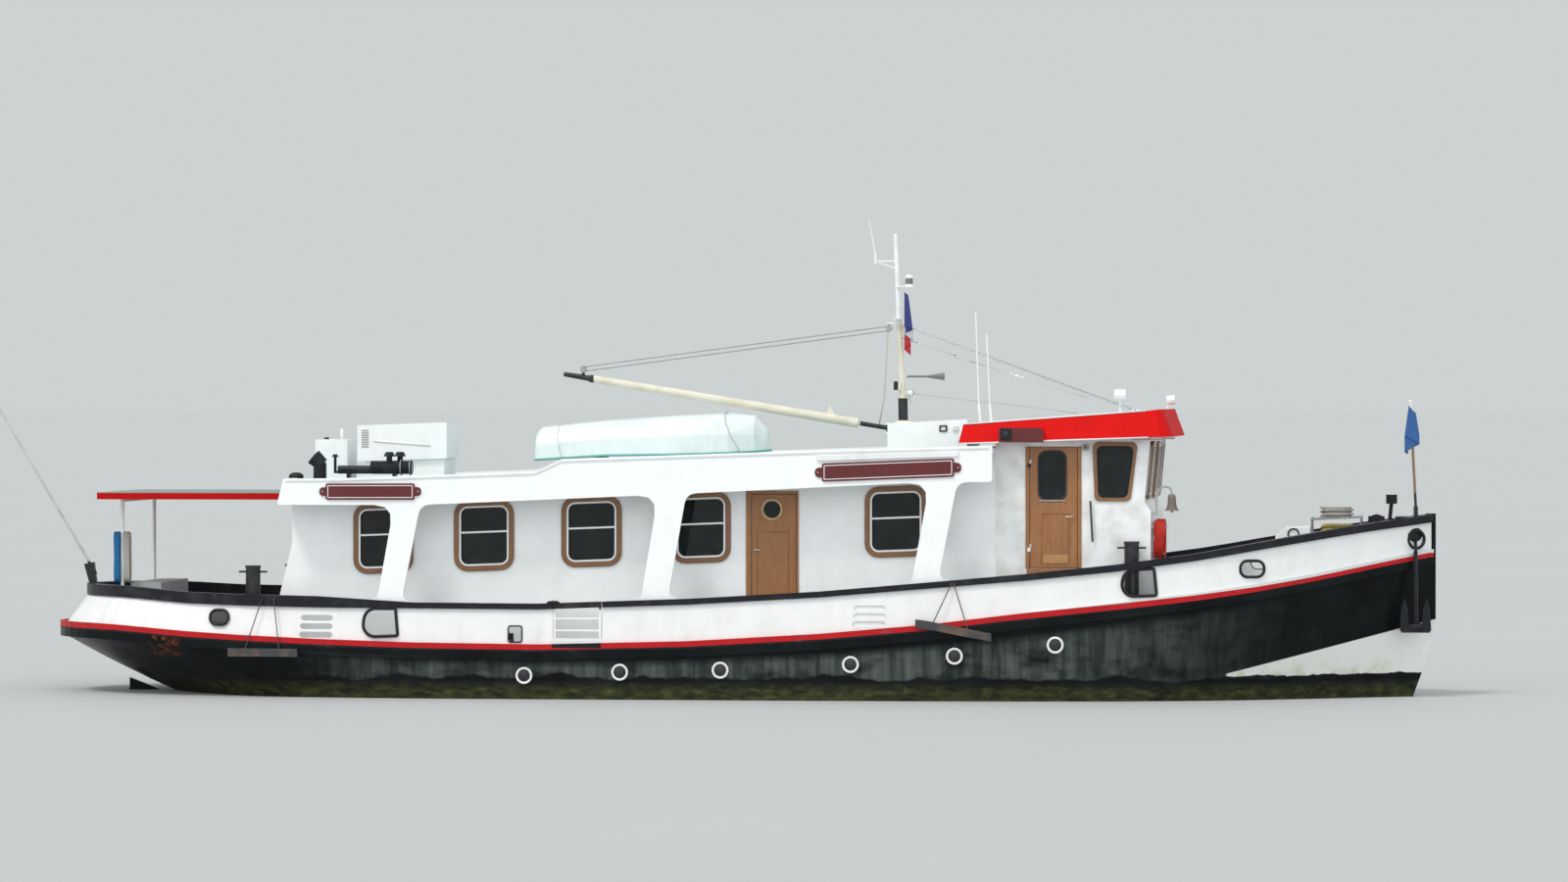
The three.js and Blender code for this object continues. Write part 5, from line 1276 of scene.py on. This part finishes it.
def wheelhouse_window(side, mirror):
    wood = Piece("wheelhouse_window_surround_" + side, frame_wood, mirror=mirror)
    hole = [(5.89, 3.215), (6.35, 3.215), (6.46, 4.04), (5.86, 4.04)]
    outside = [(5.83, 3.16), (6.40, 3.16), (6.52, 4.10), (5.795, 4.10)]
    wood.slab([rounded(outside, 0.09), rounded(hole, 0.09)], ON_HOUSE, 0.03, 0.008)
    wood.finish()
    window = Piece("wheelhouse_window_" + side, black_frame_and_shade, glass, mirror=mirror)
    frame_edge = rounded([(5.886, 3.211), (6.354, 3.211), (6.464, 4.044), (5.856, 4.044)], 0.09)
    frame_hole = rounded([(5.905, 3.23), (6.337, 3.23), (6.441, 4.023), (5.877, 4.023)], 0.07)
    window.slab([frame_edge, frame_hole], side_place(HOUSE_WALL + 0.02), 0.045, 0.006)
    pane_edge = rounded([(5.90, 3.225), (6.342, 3.225), (6.446, 4.028), (5.872, 4.028)], 0.07)
    window.slab([pane_edge], side_place(HOUSE_WALL + 0.018), 0.006, slot=1)
    window.finish()


def visor_trim(side, mirror):
    """The sidelight on its board, and the white edging round the visor; the board's dark red and the lens's
    black are painted shade.
    """
    lamp = Piece("sidelight_screen_" + side, black_frame_and_shade, rubber_and_shade, dark_red_and_shade, mirror=mirror)
    lamp.box((4.364, -2.29, 4.136), (4.535, -2.2543, 4.322), 0.012)
    # The lens is painted black: painted shade standing for the unlit green glass.
    lamp.use(1).turned((4.45, -2.289, 4.23), OUTBOARD, [(0, 0.05), (0.008, 0.046), (0.012, 0.0)], sides=16)
    # The board's dark red is painted shade: the board is the visor's red, darkened for its shaded recess.
    case = [(4.335, 4.098), (5.045, 4.098), (5.045, 4.332), (4.335, 4.332)]
    lamp.slab([rounded(case, (0, 0, 0.09, 0.01))], side_place(-2.25 - PAINT_SKIN), 0.004, 0.001, slot=2)
    lamp.finish()
    edging = Piece("visor_edging_" + side, white_trim, dark_red_and_shade, mirror=mirror)
    head = [(3.75, 4.3865), (4.6, 4.4485), (5.5, 4.5152), (6.66, 4.601)]
    edging.tube([(x, -2.062, z) for x, z in head], 0.013, 6)
    foot = [(3.68, 4.0755), (4.6, 4.107), (5.5, 4.1377), (6.70, 4.178)]
    edging.tube([(x, -2.168, z) for x, z in foot], 0.013, 6)
    edging.tube([(3.679, -2.166, 4.078), (3.748, -2.062, 4.386)], 0.012, 6)
    edging.finish()


def deck_lamps(side, mirror):
    """A dome lamp, a bulkhead lamp in its cage, and the tube under the visor's forward end."""
    wall = HOUSE_WALL - PAINT_SKIN
    lights = Piece("deck_lamps_" + side, white_trim, lamp_lens, black_frame_and_shade, mirror=mirror)
    dome = [(0, 0.07), (0.03, 0.07), (0.045, 0.055), (0.05, 0.0)]
    lights.turned((5.732, wall, 4.199), OUTBOARD, dome, sides=20)
    x, z = 5.691, 4.012
    lens = [(0, 0.05), (0.06, 0.05), (0.085, 0.03), (0.09, 0.0)]
    lights.use(1).turned((x, wall, z), OUTBOARD, lens, sides=16)
    lights.use(2)
    for turn in range(4):
        a = pi * turn / 4
        over, up = 0.056 * cos(a), 0.056 * sin(a)
        bar = [
            (x - over, -1.86, z - up), (x - over, -1.93, z - up), (x, -1.952, z),
            (x + over, -1.93, z + up), (x + over, -1.86, z + up),
        ]
        lights.tube(bar, 0.004, 5)
    lights.use(0).tube([(6.476, -1.95, 4.135), (6.909, -1.95, 4.135)], 0.014, 8)
    lights.finish()


def wheelhouse_trim(side, mirror):
    wheelhouse_window(side, mirror)
    visor_trim(side, mirror)
    deck_lamps(side, mirror)


both_sides(wheelhouse_trim)

# Middle y and width of each window in the front, which leans forward by FRONT_RAKE for each metre up
FRONT_WINDOWS = [(-1.195, 0.96), (0.0, 1.04), (1.195, 0.96)]
FRONT_FOOT = (6.62, 3.15)
FRONT_RAKE = (6.745 - 6.62) / (4.5 - 3.15)


def front_window(number, middle, width):
    """Wood frame, white inner frame and pane; the front bulges at its middle window."""
    face = FRONT_FOOT[0] + (0.05 if number == 2 else 0.03)

    def behind(depth):
        """u is Y, v is Z, and w grows forward from this depth behind the face."""
        return lambda u, v, w: (face + FRONT_RAKE * (v - FRONT_FOOT[1]) + w - depth, u, v)

    def opening(grow, radius):
        half = width / 2 + grow
        return rect(middle - half, middle + half, 3.24 - grow, 4.06 + grow, radius)

    frame_piece = Piece(f"front_window_{number}", frame_wood, glass, white_trim)
    outside = rect(middle - width / 2 - 0.05, middle + width / 2 + 0.05, 3.19, 4.12, 0.09)
    frame_piece.slab([outside, opening(0, 0.07)], behind(0), 0.03, 0.008)
    frame_piece.slab([opening(-0.002, 0.07), opening(-0.04, 0.06)], behind(0.03), 0.045, 0.005, slot=2)
    frame_piece.slab([opening(-0.04, 0.05)], behind(0.015), 0.006, slot=1)
    frame_piece.finish()


for number, (middle, width) in enumerate(FRONT_WINDOWS, 1):
    front_window(number, middle, width)


# Frames of the ports, fairleads and portholes, lying on the shell

# Middles of the portholes: x and z
PORTHOLES = [(-3.22, 0.38), (-1.68, 0.44), (-0.07, 0.48), (2.01, 0.58), (3.66, 0.72), (5.25, 0.90)]
PORTHOLE_RIM = [(0, 0.135), (0.036, 0.135), (0.042, 0.128), (0.042, 0.105), (0.030, 0.10), (0.030, 0.0)]
# A flat black disc inside each rim: painted shade for the glass and the dark room behind it.
PORTHOLE_SHADED_PANE = [(0.0, 0.098), (0.002, 0.098), (0.003, 0.0)]


def shell_at(x):
    for before, after in zip(SHELL, SHELL[1:]):
        if x <= after[0] or after is SHELL[-1]:
            share = (x - before[0]) / (after[0] - before[0])
            return [a + (b - a) * share for a, b in zip(before, after)]


def on_bulwark(x, z, out=0.0):
    """A point on the bulwark's outer face, out metres proud of it."""
    _, half, sheer, rail, lean = shell_at(x)
    rise = (z - sheer) / (rail - sheer)
    return (x, -(half - lean * max(0.0, rise)) - out, z)


def bulwark_ring(piece, loop, thick, out=0.0):
    """A tube round a loop of (x, z), with the corners eased."""
    piece.tube([on_bulwark(x, z, out) for x, z in loop], thick, 8, closed=True)


def d_loop(x0, x1, z0, z1, fall=0.0):
    bow = (z1 - z0) * 0.42
    corners = [(x0, z0), (x1, z0 + 0.025), (x1 - 0.04, z1), (x0 + 0.06, z1 - fall)]
    return rounded(corners, (bow, 0.03, 0.03, bow), 7)


def bulwark_frames(side, mirror):
    frames = Piece("bulwark_frames_" + side, black_frame_and_shade, white_trim, mirror=mirror)
    bulwark_ring(frames, d_loop(-5.855, -5.265, 0.98, 1.435), 0.026, 0.012)
    bulwark_ring(frames, d_loop(6.27, 6.84, 1.66, 2.11, 0.035), 0.026, 0.012)
    for fairlead in ((-8.373, -8.063, 1.16, 1.396), (8.145, 8.515, 1.97, 2.225)):
        bulwark_ring(frames, rect(*fairlead, 0.112, 7), 0.024, 0.010)
    bulwark_ring(frames, rect(-3.474, -3.256, 0.912, 1.168, 0.035, 4), 0.012, 0.004)
    # The closed plates behind the forward freeing slots
    for i, foot in enumerate((1.17, 1.295, 1.42)):
        x0 = 2.045 + 0.012 * i
        y = on_bulwark(x0, foot)[1]
        frames.use(1).box((x0, y + 0.028, foot + 0.002), (2.565, y + 0.034, foot + 0.093), 0.001)
    frames.finish()


def portholes(side, mirror):
    ports = Piece("portholes_" + side, white_trim, rubber_and_shade, mirror=mirror)
    for x, z in PORTHOLES:
        y = -shell_at(x)[1] - 0.004
        ports.use(0).turned((x, y + 0.03, z), OUTBOARD, PORTHOLE_RIM, 24)
        # Each pane is a black rubber disc, painted shade standing for the glass and the unlit room behind it.
        ports.use(1).turned((x, y, z), OUTBOARD, PORTHOLE_SHADED_PANE, 20)
    ports.finish()


def hawse_ring(side, mirror):
    ring_piece = Piece("hawse_ring_" + side, black_frame_and_shade, mirror=mirror)
    loop = []
    for i in range(24):
        a = 2 * pi * i / 24
        x, z = 10.895 + 0.125 * cos(a), 2.535 + 0.145 * sin(a)
        loop.append((x, -(0.35 - (x - 10.85) * 0.72) - 0.012, z))
    ring_piece.tube(loop, 0.024, 8, closed=True)
    outward = Vector((0.584, -0.811, 0))
    foot = Vector((10.895, -0.318, 2.535)) - outward * 0.035
    # The bell-mouth's lip, closed by a black dish a little inside the hole: painted shade standing for the
    # dark inside of the hawse pipe.
    mouth_and_shade_disc = [(-0.02, 0.141), (0.0, 0.143), (0.004, 0.12), (-0.005, 0.06), (-0.006, 0.0)]
    ring_piece.turned(foot, outward, mouth_and_shade_disc, 24)
    ring_piece.finish()


def shell_trim(side, mirror):
    """Frames, portholes, and the block and the cap beside the gate."""
    bulwark_frames(side, mirror)
    portholes(side, mirror)
    block = Piece("port_bitt_" + side, black_frame_and_shade, mirror=mirror)
    block.box((-3.52, -2.50, 0.90), (-3.41, -2.42, 1.05), 0.01)
    block.finish()
    cap = Piece("gate_cap_" + side, black_frame_and_shade, bright_steel, mirror=mirror)
    cap.turned((-2.757, -2.54, 1.5335), UP, [(0, 0.105), (0.02, 0.10), (0.035, 0.07), (0.042, 0.0)], 20)
    cap.finish()


both_sides(shell_trim)
both_sides(hawse_ring)


# Gear on the roof: dinghy, lockers, pipe clamps and lashings

sea_line = worn_paint("sea_green_line", (0.16, 0.42, 0.40), share=0.3)
# The dinghy's edge: x, half of the breadth, z
DINGHY = [
    (-3.36, 0.56, 3.775), (-3.30, 0.61, 3.780), (-2.2, 0.74, 3.850), (-1.0, 0.75, 3.868), (-0.2, 0.62, 3.892),
    (0.2, 0.38, 3.912), (0.38, 0.16, 3.925), (0.43, 0.05, 3.930),
]
# Starboard halves of the two lashings over the dinghy
LASHINGS = (
    (
        (-2.951, -0.55, 4.388), (-2.975, -0.68, 4.197), (-2.94, -0.74, 4.006), (-2.89, -0.76, 3.80),
        (-2.878, -0.62, 3.672),
    ),
    (
        (-0.30, 0, 4.574), (-0.28, -0.31, 4.537), (-0.25, -0.495, 4.42), (-0.17, -0.605, 4.23),
        (-0.05, -0.645, 4.03), (0.02, -0.62, 3.889),
    ),
)
DOME = [(0, 0.10), (0.06, 0.125), (0.10, 0.105), (0.125, 0.055), (0.13, 0.0)]


def dinghy_gear():
    gunwale = Piece("dinghy_gunwale", sea_line, white_trim)
    around = [(x, -half - 0.008, z + 0.02) for x, half, z in DINGHY]
    around += [(x, half + 0.008, z + 0.02) for x, half, z in reversed(DINGHY)]
    gunwale.tube(around, 0.021, 8, closed=True)
    gunwale.finish()
    lashing = Piece("dinghy_lashings", pale_line)
    for path in LASHINGS:
        lashing.tube(path, 0.007, 6)
        lashing.tube([(x, -y, z) for x, y, z in path], 0.007, 6)
    lashing.finish()


def roof_gear():
    locker = Piece("roof_locker_fittings", white_trim, inside_grey, sea_line)
    for way in (-1, 1):
        y = way * 0.59
        rail = y + way * 0.006
        for i in range(8):
            z = 3.992 + i * 0.038
            locker.use(1).box((-6.217, y - 0.006, z), (-6.097, y + 0.006, z + 0.024), 0.002)
        locker.use(0).tube([(-6.023, rail, 4.098), (-5.076, rail, 4.026)], 0.012, 6)
    locker.finish()

    cabinet = Piece("roof_cabinet_fittings", white_trim, black_frame_and_shade)
    cabinet.box((-6.91, -0.24, 4.1203), (-6.83, -0.16, 4.125), 0.002)
    cabinet.use(1).turned((-6.87, -0.2, 4.125), UP, [(0, 0.04), (0.03, 0.04), (0.034, 0.0)], 14)
    cabinet.use(0).tube([(-6.615, -0.2, 4.105), (-6.615, -0.2, 4.293)], 0.028, 10)
    cabinet.finish()

    clamps = Piece("exhaust_clamps", bright_steel)
    for x in (-5.398, -5.246):
        clamps.turned((x - 0.004, -1.5, 3.68), (1, 0, 0), [(0, 0.132), (0.009, 0.132)], 24)
    clamps.finish()

    dome = Piece("roof_dome", black_frame_and_shade)
    dome.turned((-7.12, -1.5, 3.4703), UP, DOME, 20)
    dome.finish()


dinghy_gear()
roof_gear()


# Fittings at the mast, on the casing and on the foredeck

def upright_ring(x, y, z, radius, sides):
    """Points of a circle that faces the side."""
    return ring(Vector((x, y, z)), Vector((1, 0, 0)), Vector(UP), radius, sides)


def mast_fittings():
    drum = Piece("mast_rope_drum", white_trim, pale_line)
    flange = [(0, 0.05), (0.008, 0.05), (0.012, 0.035), (0.09, 0.035)]
    drum.turned((2.725, -0.13, 4.885), (0, 1, 0), flange, 16)
    for turn in range(4):
        loop = upright_ring(2.725, -0.12 + 0.02 * turn, 4.885, 0.052, 20)
        drum.use(1).tube(loop, 0.012, 8, closed=True)
    drum.tube([(2.70, -0.07, 4.84), (2.715, -0.08, 4.76), (2.745, -0.08, 4.70)], 0.008, 6)
    drum.use(0).box((2.63, -0.045, 4.86), (2.74, -0.02, 4.91), 0.004)
    drum.finish()

    lines = Piece("mast_lines", pale_line, bright_steel)
    downhaul = [(2.775, -0.09, 4.87), (3.61, -0.09, 4.771), (4.963, -0.09, 4.62), (5.44, -0.09, 4.549)]
    lines.tube(downhaul, 0.007, 6)
    lines.tube([(2.356, -0.01, 6.0), (2.293, -0.03, 4.802), (2.213, -0.06, 4.37)], 0.011, 8)
    for spread in (-0.016, 0.016):
        lines.use(1).tube([(2.585, spread, 5.775), (3.45, spread, 5.486)], 0.006, 6)
    block = [(3.43, 0, 5.493), (3.50, 0, 5.468), (3.68, 0, 5.40), (3.73, 0, 5.383)]
    lines.tube(block, 0, 8, radii=(0.012, 0.024, 0.022, 0.010))
    lines.tube([(3.72, 0, 5.386), (4.963, 0, 5.004), (5.60, 0, 4.80)], 0.006, 6)
    lines.finish()


mast_fittings()


CASING_WALL = -1.2


def casing_fittings(side, mirror):
    vent = Piece("casing_vent_" + side, black_frame_and_shade, white_trim, lamp_lens, mirror=mirror)
    place = side_place(CASING_WALL - PAINT_SKIN)
    square = rounded([(3.296, 4.258), (3.422, 4.262), (3.422, 4.366), (3.296, 4.362)], 0.01)
    pale = rounded([(3.32, 4.280), (3.398, 4.284), (3.398, 4.344), (3.32, 4.340)], 0.005)
    lamp = rounded([(3.508, 4.272), (3.603, 4.276), (3.603, 4.36), (3.508, 4.356)], 0.02)
    vent.slab([square, pale], place, 0.02, 0.004)
    vent.slab([pale], place, 0.008, 0.001, slot=1)
    vent.slab([lamp], place, 0.035, 0.008, slot=2)
    vent.finish()


both_sides(casing_fittings)


def foredeck_box():
    """A white box with a ring handle behind the rail."""
    box = Piece("foredeck_box", white_trim, black_frame_and_shade)
    y, foot, breadth = -0.95, 1.93, 0.4
    shape = [(8.66, foot), (9.215, foot), (9.215, 2.753), (8.825, 2.736), (8.66, 2.60)]
    box.slab([rounded(shape, (0.01, 0.01, 0.02, 0.03, 0.03))], side_place(y + breadth), breadth, 0.01)
    box.use(1).tube(upright_ring(8.95, y - 0.012, 2.63, 0.085, 24), 0.012, 8, closed=True)
    box.finish()


foredeck_box()
